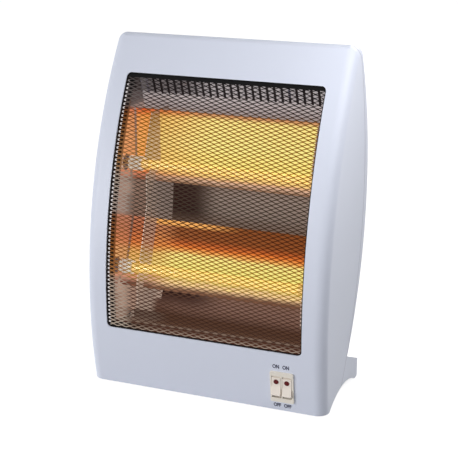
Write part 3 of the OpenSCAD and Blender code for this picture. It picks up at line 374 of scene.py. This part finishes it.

# %% [markdown]
# ## The polished back plate
# Behind the tubes stands a polished back plate with a row of vent slots. It mirrors the room above the troughs,
# and the dark baffle and shadow below them. This reflection and shade are painted as a ramp up the plate, both as
# its colour and as a glow of its own, with two soft dark patches painted beside the left end plate, where it
# mirrors the undersides of the troughs. It is painted darker and greyer beside the slots on the left, and lighter
# by the foot of the left end plate.

# %% Back plate
UP_THE_PLATE = [(58, (70, 46, 34)), (66, (92, 64, 50)), (71, (114, 84, 70)), (76, (122, 92, 78)), (90, (124, 92, 78)),
                (150, (118, 98, 86)), (170, (120, 104, 94)), (190, (128, 112, 102)), (204, (124, 104, 92)),
                (270, (150, 136, 132)), (284, (176, 164, 163)), (294, (188, 178, 178)), (299, (184, 176, 177)),
                (304, (172, 166, 169)), (322, (166, 162, 164))]
shield, t, shader, made = sheet_metal("polished_back_plate", srgb(150, 140, 136), rough=0.42,
                                      stretch=(300.0, 6.0, 6.0), metallic=0.3)
x, y, z = position(t)
# Painted reflection and shade: dark patches by the left end plate, a greyer band by the slots, a lighter patch by the
# foot.
middle = t.math("MULTIPLY", fade(t, x, -22, -54), between(t, z, 150, 172, 196, 210))
lower = t.math("MULTIPLY", fade(t, x, -2, -44), between(t, z, 66, 84, 94, 110))
patches = t.math("MULTIPLY", fade(t, x, -88, -79), t.math("ADD", middle, lower, clamp=True))
by_slots = t.math("MULTIPLY", fade(t, x, -14, -60), fade(t, z, 297, 303))
left_foot = t.math("MULTIPLY", fade(t, x, -80, -90), fade(t, z, 120, 108))
shade = ramp(t, z, UP_THE_PLATE)
for mask, colour in ((patches, (40, 15, 12)), (by_slots, (112, 106, 108)), (left_foot, (168, 150, 136))):
    shade = mix(t, mask, shade, srgb(*colour))
t.link(shade, made.inputs["Color"])
# Painted light: the plate glows with the same painted tone.
lit_by(t, shader, shade, 0.6)
dress(shield, "heat_shield")

# %% [markdown]
# ## Baffle, end plates, side walls and clips
# The baffle under the tubes is drawn a dark brown, paler at its left end, as painted shade, with a little painted
# glow from the tubes, and its front edge is turned up into a paler hem. The end plates are plain grey sheet with a
# painted glow that is lighter towards the foot. The side walls are polished, and the lit ends of the troughs are
# painted on them as a reflection; above the troughs they are drawn darker. The spring clips lie against the hot
# tubes and glow with a painted light where they touch them.

# %% Inner sheets
UP_THE_ENDS = [(84, (255, 246, 240)), (116, (255, 244, 236)), (140, (206, 200, 200)), (222, (206, 204, 208)),
               (262, (186, 184, 190)), (276, (128, 130, 140))]
dark_baffle, t, shader, made = sheet_metal("dark_baffle_sheet", srgb(112, 76, 62), rough=0.42,
                                       stretch=(6.0, 300.0, 300.0), metallic=0.4)
x, y, z = position(t)
hem_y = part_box("baffle")[0][1] / MM
# Painted shade: the baffle is drawn dark brown, paler at its left end, and glows a little with painted tube light.
brown = mix(t, fade(t, x, -60, -84), srgb(96, 68, 52), srgb(118, 100, 88))
shade = mix(t, fade(t, y, hem_y + 1.6, hem_y + 0.9), brown, srgb(128, 108, 94))
t.link(shade, made.inputs["Color"])
lit_by(t, shader, shade, 0.5)
dress(dark_baffle, "baffle")

plates, t, shader, made = sheet_metal("end_plate_sheet", srgb(186, 170, 158), rough=0.4, stretch=(300.0, 300.0, 6.0),
                                      metallic=0.5)
x, y, z = position(t)
# Painted light: the end plates glow, lighter towards the foot.
lit_by(t, shader, tint(t, made.outputs["Color"], ramp(t, z, UP_THE_ENDS)), 0.58)
dress(plates, "tube_support_left", "tube_support_right")

walls, t, shader, made = sheet_metal("side_wall_sheet", srgb(214, 202, 196), rough=0.16, stretch=(300.0, 300.0, 6.0),
                                     streaks=0.08)
x, y, z = position(t)
# Painted reflection of the lit trough ends, and painted darker above the troughs.
above = fade(t, z, 284, 294)
t.link(mix(t, above, srgb(214, 202, 196), srgb(110, 100, 98)), made.inputs["Color"])
mirrored = mix(t, above, srgb(168, 142, 128), srgb(84, 74, 72))
lit_by(t, shader, tint(t, made.outputs["Color"], mirrored), 0.5)
dress(walls, "side_wall_left", "side_wall_right")

clips, t, shader, made = sheet_metal("clip_spring_steel", srgb(170, 150, 120), rough=0.3)
x, y, z = position(t)
# Painted light: the clips glow where they lie against the tubes.
glow_zone = t.math("ADD", *[t.math("LESS_THAN", t.math("ABSOLUTE", t.math("SUBTRACT", z, tube_z)), TERMINAL_REACH)
                      for _, tube_z in TUBES], clamp=True)
lit_by(t, shader, mix(t, glow_zone, BLACK, srgb(236, 190, 104)), 0.75)
dress(clips, "tube_clips")
dress(sheet_metal("plain_spring_steel", srgb(150, 150, 152), rough=0.25)[0], "tip_spring")

# %% [markdown]
# ## The reflectors
# Each tube sits in a trough of bright sheet. With the heater on, a trough is filled with the tube's light: the
# upper one is yellow nearly all over, the lower one is yellow beside the tube, orange above it and brown near
# its top edge, which catches the light of the upper tube. The glow is a ramp up the trough, from the turned-down
# lip to the top edge, and it changes from the left end to the right. Only the face that is turned to the tube
# glows, which the normal tells: the trough's back stays a dull grey.

# %% Reflector sheet
# The rim's light grows between these two distances below the top edge, in millimetres.
# RIM_COLOUR is a painted light along a trough's top edge; TROUGH_BACK is a dull grey glow painted on a trough's back.
RIM_BAND, RIM_COLOUR, TROUGH_BACK = (7, 4.5), srgb(252, 178, 96), srgb(96, 84, 80)
WAVE = 0.004  # how far the edges of the glow waver, in metres


def reflector(name, tube, base, left_stops, right_stops, turn, end_tint, rim, top):
    """A lit trough. The left ramp changes to the right one between the two X of turn; rim lights its top edge."""
    material, t, shader, made = sheet_metal(name, base, rough=0.30, streaks=0.2)
    x, y, z = position(t)
    wave = t.add("ShaderNodeTexNoise", {"Scale": 18.0, "Detail": 2.0}).outputs["Fac"]
    height = t.math("ADD", t.math("SUBTRACT", z, tube[1]), t.math("MULTIPLY_ADD", wave, WAVE, -WAVE / 2))
    left = ramp(t, height, left_stops)
    along = mix(t, fade(t, x, *turn), left, ramp(t, height, right_stops))
    at_rim = t.math("MULTIPLY", fade(t, z, top - RIM_BAND[0], top - RIM_BAND[1]), fade(t, x, 24, -30))
    along = mix(t, t.math("MULTIPLY", at_rim, rim), along, RIM_COLOUR)
    # Past the end plates a trough shows the left ramp's painted glow, tinted.
    past_left, past_right = fade(t, x, LEFT_PLATE + 1, LEFT_PLATE - 2), fade(t, x, RIGHT_PLATE - 1, RIGHT_PLATE + 1)
    lit = mix(t, t.math("ADD", past_left, past_right, clamp=True), along, tint(t, left, end_tint))
    to_tube = t.add("ShaderNodeCombineXYZ", {1: t.math("SUBTRACT", tube[0], y), 2: t.math("SUBTRACT", tube[1], z)})
    normal = t.add("ShaderNodeTexCoord").outputs["Normal"]
    facing = t.add("ShaderNodeVectorMath", {0: normal, 1: to_tube.outputs[0]}, operation="DOT_PRODUCT")
    faces_tube = t.math("GREATER_THAN", facing.outputs["Value"], -0.002)
    lit_by(t, shader, mix(t, faces_tube, TROUGH_BACK, lit), 0.9)
    return material


# %% [markdown]
# ### The glow up each trough
# Every stop is a height above the tube's axis in millimetres and the colour that is seen there.

# %% Light the troughs
UPPER_LEFT = [(-20, (130, 84, 66)), (-15, (200, 156, 130)), (-12, (228, 156, 104)), (-8, (254, 212, 124)),
              (20, (254, 220, 134)), (44, (252, 206, 118)), (51, (228, 134, 74)), (54, (186, 90, 56))]
UPPER_RIGHT = [(-20, (130, 88, 70)), (-15, (214, 172, 148)), (-12, (236, 180, 128)), (-8, (255, 234, 132)),
               (20, (255, 241, 146)), (47, (254, 233, 142)), (51, (216, 154, 104)), (54, (170, 104, 76))]
LOWER_LEFT = [(-20, (110, 70, 54)), (-15, (206, 160, 134)), (-12, (236, 172, 112)), (-7, (254, 228, 140)),
              (8, (252, 208, 124)), (16, (240, 152, 80)), (30, (206, 132, 84)), (46, (204, 144, 108)),
              (52, (232, 184, 136))]
LOWER_RIGHT = [(-20, (112, 74, 58)), (-15, (240, 200, 150)), (-12, (255, 230, 132)), (-8, (255, 242, 136)),
               (10, (255, 240, 142)), (14, (250, 178, 92)), (18, (236, 124, 48)), (22, (186, 88, 34)),
               (27, (138, 70, 28)), (46, (126, 64, 26)), (50, (130, 68, 34)), (53, (176, 120, 84))]
upper_trough = reflector("upper_trough_sheet", UPPER, srgb(92, 78, 52), UPPER_LEFT, UPPER_RIGHT, turn=(-70, -10),
                         end_tint=srgb(255, 200, 192), rim=0.0, top=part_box("reflector_upper")[1][2] / MM)
lower_trough = reflector("lower_trough_sheet", LOWER, srgb(60, 44, 30), LOWER_LEFT, LOWER_RIGHT, turn=(-72, -48),
                         end_tint=srgb(248, 222, 226), rim=1.0, top=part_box("reflector_lower")[1][2] / MM)
dress(upper_trough, "reflector_upper")
dress(lower_trough, "reflector_lower")

# %% [markdown]
# ## Tubes and ceramic ends
# The tubes are clear fused quartz. With the coil lit behind it, the quartz itself seems to glow, so the shader
# keeps its transmission and adds a soft warm painted light that fades where the cold ends enter the ceramic. The
# ceramic ends are white, and the same light is painted on them as a glow.

# %% Quartz and ceramic
quartz, t, shader = finish("lit_quartz", Roughness=0.06, IOR=1.46, Transmission_Weight=0.9)
x, y, z = position(t)
low_x, high_x = (corner[0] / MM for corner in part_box("quartz_tube_upper"))
glow_zone = between(t, x, low_x + 4, low_x + 10, high_x - 10, high_x - 4)
ripple = t.add("ShaderNodeTexNoise", {"Scale": 160.0, "Detail": 1.0}).outputs["Fac"]
level = t.math("MULTIPLY", glow_zone, t.math("MULTIPLY_ADD", ripple, 0.3, 0.85))
# Painted light: the quartz glows between its cold ends.
lit_by(t, shader, mix(t, level, srgb(120, 50, 16), srgb(255, 226, 140)), 0.17)
shader.inputs["Base Color"].default_value = srgb(255, 240, 214)
dress(quartz, "quartz_tube_upper", "quartz_tube_lower")

UNGLAZED = {"rough": 0.55, "grain": 2200.0, "mottle": 0.08, "bump": 0.2}
ceramic, t, shader, made = plastic("steatite_ceramic", srgb(232, 226, 214), **UNGLAZED)
# Painted light: the ceramic ends glow in the tubes' light.
lit_by(t, shader, made.outputs["Color"], 0.35)
dress(ceramic, "ceramic_ends")
dress(plastic("block_ceramic", srgb(226, 220, 208), **UNGLAZED)[0], "terminal_block")

# %% [markdown]
# ## Switch, lenses and the parts inside
# The switch is a cream thermoplastic, glossier than the casing. The lenses are a deep red, see-through plastic.
# Brass tabs, black thermoplastic, nylon, the cut-out's tinned cap, heat-proof sleeves and plated screws each
# get their own grain or streaks.

# %% Switch and small parts
dress(plastic("cream_switch_plastic", srgb(241, 234, 222), rough=0.3, bump=0.04)[0], "switch_body")
dress(plastic("ivory_rocker_plastic", srgb(248, 238, 227), rough=0.26, bump=0.03)[0], "rocker_left", "rocker_right")
dress(plastic("red_lens", srgb(92, 3, 8), rough=0.3, mottle=0.2, bump=0.02, Coat_Weight=0.05,
              Specular_IOR_Level=0.2)[0], "lens_left", "lens_right")
dress(sheet_metal("brass_tab", srgb(206, 172, 98), rough=0.3)[0], "element_terminals", "switch_terminals")
dress(plastic("black_thermoplastic", srgb(34, 34, 36), rough=0.4, mottle=0.2)[0], "tip_switch")
dress(plastic("natural_nylon", srgb(222, 218, 204), rough=0.45, mottle=0.06)[0], "tip_plunger")
dress(sheet_metal("tinned_cap", srgb(190, 190, 192), rough=0.3, stretch=(200.0, 200.0, 6.0))[0], "thermal_cutout")
dress(plastic("glass_fibre_sleeve", srgb(206, 196, 176), rough=0.8, grain=3000.0, mottle=0.2, bump=0.5)[0], "wiring")
dress(sheet_metal("plated_screw_steel", srgb(176, 176, 180), rough=0.3, stretch=(250.0, 250.0, 250.0))[0],
      "cover_screws", "shield_screws", "base_screws")

# %% [markdown]
# ## The wire guard
# The window is closed by a fine expanded mesh: strands that run in zigzags and meet at flat knuckles, about
# twenty-two diamonds across. One zigzag strand is a line of points; a stack of such lines, every other one
# mirrored, is the whole sheet. Geometry Nodes build it flat, give each strand a flattened section, and roll it
# onto the bow of the casing, so a change of pitch or bow needs one number only.

# %% Geometry Nodes helpers
def geometry_tree(name, inputs):
    tree = bpy.data.node_groups.new(name, "GeometryNodeTree")
    tree.interface.new_socket("Geometry", in_out="INPUT", socket_type="NodeSocketGeometry")
    for socket, kind, value in inputs:
        made = tree.interface.new_socket(socket, in_out="INPUT", socket_type=kind)
        if value is not None:
            made.default_value = value
    tree.interface.new_socket("Geometry", in_out="OUTPUT", socket_type="NodeSocketGeometry")
    t = Tree(tree)
    return t, t.add("NodeGroupInput").outputs, t.add("NodeGroupOutput").inputs


def grow(name, tree, values):
    """Runs a geometry tree on an empty object and returns the result as a plain mesh object."""
    seedling = bpy.data.objects.new(name + "_tree", bpy.data.meshes.new(name + "_tree"))
    bpy.context.scene.collection.objects.link(seedling)
    modifier = seedling.modifiers.new("build", "NODES")
    modifier.node_group = tree
    sockets = {s.name: s.identifier for s in tree.interface.items_tree if s.in_out == "INPUT"}
    for key, value in values.items():
        modifier[sockets[key]] = value
    ready = seedling.evaluated_get(bpy.context.evaluated_depsgraph_get())
    mesh = bpy.data.meshes.new_from_object(ready)
    mesh.name = name
    bpy.data.objects.remove(seedling)
    piece = bpy.data.objects.new(name, mesh)
    bpy.context.scene.collection.objects.link(piece)
    print(name, "has", len(mesh.polygons), "faces in", [m.name for m in mesh.materials])
    return piece


INT, OBJECT_MATERIAL = "NodeSocketInt", "NodeSocketMaterial"
print("geometry helpers ready")

# %% [markdown]
# ### The mesh tree
# Point number k of a strand sits at X = k steps, and it is high or low in turn. Two steps close together make
# the knuckle, where a strand lies against its neighbour. Rows alternate, so highs meet lows. After the strands
# get their section, every point is rolled about the axis of the casing's bow.

# %% Geometry tree: expanded mesh
t, i, o = geometry_tree("expanded_mesh", [
    ("Columns", INT, 22), ("Rows", INT, 60), ("Pitch X", FLOAT, 0.0095), ("Pitch Z", FLOAT, 0.0042),
    ("Strand Width", FLOAT, 0.0008), ("Strand Thickness", FLOAT, 0.0005), ("Knuckle", FLOAT, 0.0012),
    ("Axis Y", FLOAT, 0.0), ("Axis Z", FLOAT, 0.0), ("Radius", FLOAT, 0.45), ("Middle Angle", FLOAT, 0.0),
    ("Material", OBJECT_MATERIAL, None)])
points = t.math("MULTIPLY_ADD", i["Columns"], 4.0, 2.0)
strand = t.add("GeometryNodeMeshLine", {"Count": points, "Offset": (1.0, 0.0, 0.0)}, mode="OFFSET")
stack = t.add("GeometryNodeMeshLine", {"Count": t.math("MULTIPLY", i["Rows"], 2.0), "Offset": (0.0, 0.0, 1.0)},
              mode="OFFSET")
copies = t.add("GeometryNodeInstanceOnPoints", {"Points": stack.outputs[0], "Instance": strand.outputs[0]})
real = t.add("GeometryNodeRealizeInstances", {0: copies.outputs[0]})
k, _, row = t.add("ShaderNodeSeparateXYZ", {0: t.add("GeometryNodeInputPosition").outputs[0]}).outputs
pair = t.math("FLOOR", t.math("MULTIPLY_ADD", k, 0.5, 0.25))
step = t.math("SUBTRACT", t.math("MULTIPLY", t.math("SUBTRACT", k, t.math("MULTIPLY", pair, 2.0)), 2.0), 1.0)
x_mid = t.math("MULTIPLY", t.math("SUBTRACT", pair, i["Columns"]), t.math("MULTIPLY", i["Pitch X"], 0.5))
x = t.math("MULTIPLY_ADD", step, t.math("MULTIPLY", i["Knuckle"], 0.5), x_mid)
odd = t.math("MODULO", t.math("ADD", pair, row), 2.0)
swing = t.math("SUBTRACT", t.math("MULTIPLY", t.math("GREATER_THAN", odd, 0.5), 2.0), 1.0)
reach = t.math("SUBTRACT", t.math("MULTIPLY", i["Pitch Z"], 0.25), t.math("MULTIPLY", i["Strand Width"], 0.4))
centred = t.math("SUBTRACT", row, t.math("SUBTRACT", i["Rows"], 0.5))
z = t.math("MULTIPLY_ADD", swing, reach, t.math("MULTIPLY", centred, t.math("MULTIPLY", i["Pitch Z"], 0.5)))
flat_place = t.add("ShaderNodeCombineXYZ", {0: x, 2: z}).outputs[0]
laid = t.add("GeometryNodeSetPosition", {0: real.outputs[0], "Position": flat_place})
curves = t.add("GeometryNodeMeshToCurve", {0: laid.outputs[0]})
normals = t.add("GeometryNodeSetCurveNormal", {0: curves.outputs[0]}, mode="Z_UP")
half_width = t.math("MULTIPLY", i["Strand Width"], 0.5)
section = t.add("GeometryNodeCurvePrimitiveCircle", {"Resolution": 4, "Radius": half_width})
flatness = t.math("DIVIDE", i["Strand Thickness"], i["Strand Width"])
flatten = t.add("ShaderNodeCombineXYZ", {0: flatness, 1: 1.0, 2: 1.0}).outputs[0]
flat_section = t.add("GeometryNodeTransform", {0: section.outputs[0], "Scale": flatten})
tubes = t.add("GeometryNodeCurveToMesh", {
    "Curve": normals.outputs[0], "Profile Curve": flat_section.outputs[0], "Fill Caps": True})
x, y, z = t.add("ShaderNodeSeparateXYZ", {0: t.add("GeometryNodeInputPosition").outputs[0]}).outputs
angle = t.math("ADD", t.math("DIVIDE", z, i["Radius"]), i["Middle Angle"])
arm = t.math("SUBTRACT", i["Radius"], y)
rolled_y = t.math("SUBTRACT", i["Axis Y"], t.math("MULTIPLY", arm, t.math("COSINE", angle)))
rolled_z = t.math("MULTIPLY_ADD", arm, t.math("SINE", angle), i["Axis Z"])
rolled_place = t.add("ShaderNodeCombineXYZ", {0: x, 1: rolled_y, 2: rolled_z}).outputs[0]
rolled = t.add("GeometryNodeSetPosition", {0: tubes.outputs[0], "Position": rolled_place})
whole = t.add("GeometryNodeRealizeInstances", {0: rolled.outputs[0]})
painted = t.add("GeometryNodeSetMaterial", {0: whole.outputs[0], "Material": i["Material"]})
t.link(painted.outputs[0], o["Geometry"])
EXPANDED_MESH = t.tree
print("tree", EXPANDED_MESH.name, "with", len(EXPANDED_MESH.nodes), "nodes")

# %% [markdown]
# ### The colour of the strands
# The real guard is bright plated steel, so each strand mirrors what stands behind it: brown and grey between the
# troughs, yellow in front of them, near black at the top. The strands' own colour is kept near black, and two ramps
# up the window paint what they mirror as a glow of their own, one for the middle and one for its left part, which
# mirrors more of the room. At the far left the strands are cut off against the dark frame, and their ends get a
# painted highlight.

# %% Plated wire
chrome, t, shader, made = sheet_metal("bright_mesh_wire", srgb(62, 52, 48), rough=0.3, stretch=(300.0, 300.0, 300.0),
                                      streaks=0.5)
x, y, z = position(t)
MIDDLE = [(67, (172, 156, 142)), (71, (136, 116, 102)), (75, (72, 50, 40)), (88, (56, 32, 22)), (108, (76, 50, 40)),
          (120, (96, 68, 50)), (125, (148, 112, 50)), (130, (158, 122, 26)), (150, (138, 96, 6)), (158, (130, 66, 4)),
          (164, (108, 44, 6)), (172, (76, 30, 4)), (186, (64, 28, 6)), (190, (56, 38, 26)), (200, (58, 48, 40)),
          (224, (64, 50, 40)), (230, (104, 72, 44)), (237, (136, 90, 22)), (243, (136, 94, 4)), (286, (130, 82, 4)),
          (291, (90, 54, 16)), (296, (48, 34, 30)), (310, (28, 24, 25)), (325, (20, 18, 20))]
LEFT = [(67, (176, 162, 148)), (74, (166, 150, 136)), (118, (168, 148, 132)), (128, (156, 104, 56)),
        (150, (128, 76, 28)), (186, (120, 74, 42)), (192, (158, 142, 132)), (226, (160, 144, 130)),
        (236, (150, 108, 66)), (288, (110, 62, 24)), (293, (92, 78, 72)), (302, (96, 88, 86)), (325, (58, 54, 54))]
# Painted reflection: the strands glow with the colours of what they mirror.
picked_up = mix(t, fade(t, x, -78, -90), ramp(t, z, MIDDLE), ramp(t, z, LEFT))
# Painted highlight: the cut ends at the far left are drawn pale and shining.
edge = t.math("MULTIPLY", fade(t, x, -103.6, -104.6), fade(t, z, 320, 310))
lit_by(t, shader, mix(t, edge, picked_up, srgb(184, 178, 176)), 1.0)
t.link(mix(t, edge, srgb(20, 16, 15), srgb(150, 150, 154)), made.inputs["Color"])
print("strand colours:", len(MIDDLE), "stops in the middle,", len(LEFT), "at the left")

# %% [markdown]
# ### Weaving the guard
# The guard fills the place of the CAD's own mesh, which is measured here. It lies in the middle of that mesh's
# thickness, so it is rolled to the casing's bow a little smaller.

# %% Weave the guard
ROWS, COLUMNS = 64, 22
BEHIND_FACE = (0.0013, 0.001, 0.0006)  # half the casing's wall, the mesh's seat and half the mesh, in metres
mesh_r = FRONT_R
for step_back in BEHIND_FACE:
    mesh_r -= step_back
guard_low, guard_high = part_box("grille")
angle_0, angle_1 = (math.asin((edge_z - FRONT_Z) / mesh_r) for edge_z in (guard_low[2], guard_high[2]))
guard = grow("wire_guard", EXPANDED_MESH, {
    "Columns": COLUMNS, "Rows": ROWS, "Pitch X": (guard_high[0] - guard_low[0]) / COLUMNS,
    "Pitch Z": (angle_1 - angle_0) * mesh_r / ROWS, "Strand Width": 0.00094, "Strand Thickness": 0.0005,
    "Knuckle": 0.0012, "Axis Y": FRONT_Y, "Axis Z": FRONT_Z, "Radius": mesh_r,
    "Middle Angle": (angle_0 + angle_1) / 2, "Material": chrome})
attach(guard, "casing")
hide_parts("grille")

# %% [markdown]
# ## The heating coils
# The coil in a tube is wound from a resistance wire, close and even, and it is the brightest thing in the
# heater. A straight line of points is turned into a helix by the same idea as the mesh: each point's number
# gives its place along the tube and its turn about the tube's axis.

# %% Geometry tree: coil
t, i, o = geometry_tree("wound_coil", [
    ("Turns", INT, 120), ("Start X", FLOAT, -0.085), ("End X", FLOAT, 0.085), ("Coil Radius", FLOAT, 0.002),
    ("Wire Radius", FLOAT, 0.0003),
    ("Axis Y", FLOAT, 0.0), ("Axis Z", FLOAT, 0.0), ("Material", OBJECT_MATERIAL, None)])
PER_TURN = 8
count = t.math("MULTIPLY_ADD", i["Turns"], float(PER_TURN), 1.0)
line = t.add("GeometryNodeMeshLine", {"Count": count, "Offset": (1.0, 0.0, 0.0)}, mode="OFFSET")
k = t.add("ShaderNodeSeparateXYZ", {0: t.add("GeometryNodeInputPosition").outputs[0]}).outputs[0]
along = t.math("DIVIDE", k, t.math("MULTIPLY", i["Turns"], float(PER_TURN)))
x = t.math("MULTIPLY_ADD", along, t.math("SUBTRACT", i["End X"], i["Start X"]), i["Start X"])
turn = t.math("MULTIPLY", k, 2 * math.pi / PER_TURN)
y = t.math("MULTIPLY_ADD", t.math("COSINE", turn), i["Coil Radius"], i["Axis Y"])
z = t.math("MULTIPLY_ADD", t.math("SINE", turn), i["Coil Radius"], i["Axis Z"])
place = t.add("ShaderNodeCombineXYZ", {0: x, 1: y, 2: z}).outputs[0]
wound = t.add("GeometryNodeSetPosition", {0: line.outputs[0], "Position": place})
curve = t.add("GeometryNodeMeshToCurve", {0: wound.outputs[0]})
section = t.add("GeometryNodeCurvePrimitiveCircle", {"Resolution": 6, "Radius": i["Wire Radius"]})
wire = t.add("GeometryNodeCurveToMesh", {
    "Curve": curve.outputs[0], "Profile Curve": section.outputs[0], "Fill Caps": True})
whole = t.add("GeometryNodeRealizeInstances", {0: wire.outputs[0]})
painted = t.add("GeometryNodeSetMaterial", {0: whole.outputs[0], "Material": i["Material"]})
t.link(painted.outputs[0], o["Geometry"])
WOUND_COIL = t.tree
print("tree", WOUND_COIL.name)

# %% [markdown]
# ### Winding the coils
# Both coils are the same. The glow flickers a little from turn to turn, as the wire is never evenly hot.

# %% Wind the coils
COIL = {"Turns": 124, "Start X": -0.088, "End X": 0.1028, "Coil Radius": 0.0021, "Wire Radius": 0.00035}
hot_wire, t, shader = finish("hot_coil_wire", Roughness=0.6)
flicker = t.add("ShaderNodeTexNoise", {"Scale": 400.0, "Detail": 1.0})
lit_by(t, shader, mix(t, flicker.outputs["Fac"], srgb(248, 212, 116), srgb(255, 238, 158)), 0.82)
shader.inputs["Base Color"].default_value = srgb(60, 44, 30)
for name, node, (y, z) in (("coil_upper", "heating_coil_upper", UPPER), ("coil_lower", "heating_coil_lower", LOWER)):
    coil = grow(name, WOUND_COIL, {**COIL, "Axis Y": y, "Axis Z": z, "Material": hot_wire})
    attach(coil, "casing")
    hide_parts(node)

# %% [markdown]
# ## ON and OFF
# The switch is marked in small dark letters, printed on the casing above and below each rocker. Letters are made
# as text, turned into a mesh, and then laid on the bow of the casing, a hair proud of it.

# %% Lettering
LETTER_SIZE, LETTER_SQUEEZE, LETTER_BOLD, INK_DEPTH, INK_LIFT = 0.0056, 0.8, 0.0002, 0.00004, 0.00006
# Each word with the X and Z of its middle.
WORDS = (("ON", 0.0802, 0.0517), ("ON", 0.0908, 0.0517), ("OFF", 0.0803, 0.0072), ("OFF", 0.0913, 0.0072))


def word_mesh(word, x, z):
    """A word as a mesh, its middle at X and Z on the bow of the casing."""
    curve = bpy.data.curves.new("word", "FONT")
    curve.body, curve.size = word, LETTER_SIZE
    curve.align_x = curve.align_y = "CENTER"
    curve.extrude, curve.offset = INK_DEPTH, LETTER_BOLD
    text = bpy.data.objects.new("word", curve)
    bpy.context.scene.collection.objects.link(text)
    mesh = bpy.data.meshes.new_from_object(text.evaluated_get(bpy.context.evaluated_depsgraph_get()))
    bpy.data.objects.remove(text)
    for v in mesh.vertices:
        angle = math.asin((z + v.co.y - FRONT_Z) / FRONT_R)
        r = FRONT_R + v.co.z + INK_LIFT
        v.co = (x + LETTER_SQUEEZE * v.co.x, FRONT_Y - r * math.cos(angle), FRONT_Z + r * math.sin(angle))
    return mesh


ink = plastic("printed_ink", srgb(52, 54, 78), rough=0.5, mottle=0.2)[0]
words = [bpy.data.objects.new(f"word_{n}", word_mesh(*word)) for n, word in enumerate(WORDS)]
for word in words:
    bpy.context.scene.collection.objects.link(word)
    word.data.materials.clear()
    word.data.materials.append(ink)
with bpy.context.temp_override(active_object=words[0], selected_editable_objects=words):
    bpy.ops.object.join()
marks = words[0]
marks.name = "switch_marks"
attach(marks, "casing")
print("switch marks have", len(marks.data.polygons), "faces")

# %% [markdown]
# ## Studio
# The heater stands on a plain white floor. To a camera and in reflections, the world and the floor are white;
# the light that falls on the heater is softer and weaker towards the right. A broad lamp ahead and to the left
# lights the bowed face. A small one close to the upper right corner gives the side its slow fall of light from
# top to bottom, and a third stands behind.

# %% World and floor
WHITE, PAPER, FLOOR_HALF, FLOOR_WHITE = (1, 1, 1, 1), (0.52, 0.52, 0.53, 1), 6, 0.86


def seen_directly(t):
    """1 for a ray from the camera, a reflection or a see-through surface; 0 for the rays that light a surface."""
    rays = t.add("ShaderNodeLightPath").outputs
    mirrored = t.math("MAXIMUM", rays["Is Glossy Ray"], rays["Is Transmission Ray"])
    return t.math("MAXIMUM", rays["Is Camera Ray"], mirrored)


world = bpy.data.worlds.new("studio")
bpy.context.scene.world = world
world.use_nodes = True
world.node_tree.nodes.clear()
t = Tree(world.node_tree)
to_right, _, up = t.add("ShaderNodeSeparateXYZ", {0: t.add("ShaderNodeTexCoord").outputs["Generated"]}).outputs
by_height, by_side = [
    t.add("ShaderNodeMapRange", {"Value": value, "From Min": start, "From Max": 0.9, "To Min": bright, "To Max": dim})
    for value, start, bright, dim in ((up, 0.0, 0.5, 0.3), (to_right, -0.2, 1.0, 0.25))]
sky = t.math("MULTIPLY", by_height.outputs[0], by_side.outputs[0])
level = t.add("ShaderNodeMix", {0: seen_directly(t), 2: sky, 3: 1.0}).outputs[0]
back = t.add("ShaderNodeBackground", {"Color": WHITE, "Strength": level})
t.link(back.outputs[0], t.add("ShaderNodeOutputWorld").inputs[0])

floor_mesh = bpy.data.meshes.new("floor")
corners = [(side_x * FLOOR_HALF, side_y * FLOOR_HALF, 0) for side_x, side_y in ((-1, -1), (1, -1), (1, 1), (-1, 1))]
floor_mesh.from_pydata(corners, [], [(0, 1, 2, 3)])
floor = bpy.data.objects.new("floor", floor_mesh)
bpy.context.scene.collection.objects.link(floor)
paper, t, shader = finish("studio_paper", Roughness=1.0, Specular_IOR_Level=0.0, Base_Color=PAPER, Emission_Color=WHITE)
t.link(t.math("MULTIPLY", seen_directly(t), FLOOR_WHITE), shader.inputs["Emission Strength"])
floor_mesh.materials.append(paper)
print("floor is", 2 * FLOOR_HALF, "m across")

# %% [markdown]
# ### Lamps
# All three are soft discs that the camera can't see, aimed at the middle of the heater.

# %% Lamps
MIDDLE_OF_HEATER = Vector((0.0, 0.0, 0.18))


def lamp(name, place, size, power):
    data = bpy.data.lights.new(name, "AREA")
    data.shape, data.size, data.energy = "DISK", size, power
    lamp_object = bpy.data.objects.new(name, data)
    lamp_object.location = place
    lamp_object.rotation_euler = (MIDDLE_OF_HEATER - Vector(place)).to_track_quat("-Z", "Y").to_euler()
    lamp_object.visible_camera = False
    bpy.context.scene.collection.objects.link(lamp_object)
    print(name, power, "W")


lamp("key_lamp", (-1.6, -2.0, 0.45), 1.4, 38.5)
lamp("side_lamp", (0.36, -0.1, 0.5), 0.3, 1.0)
lamp("back_lamp", (0.4, 2.4, 1.6), 1.6, 19.0)
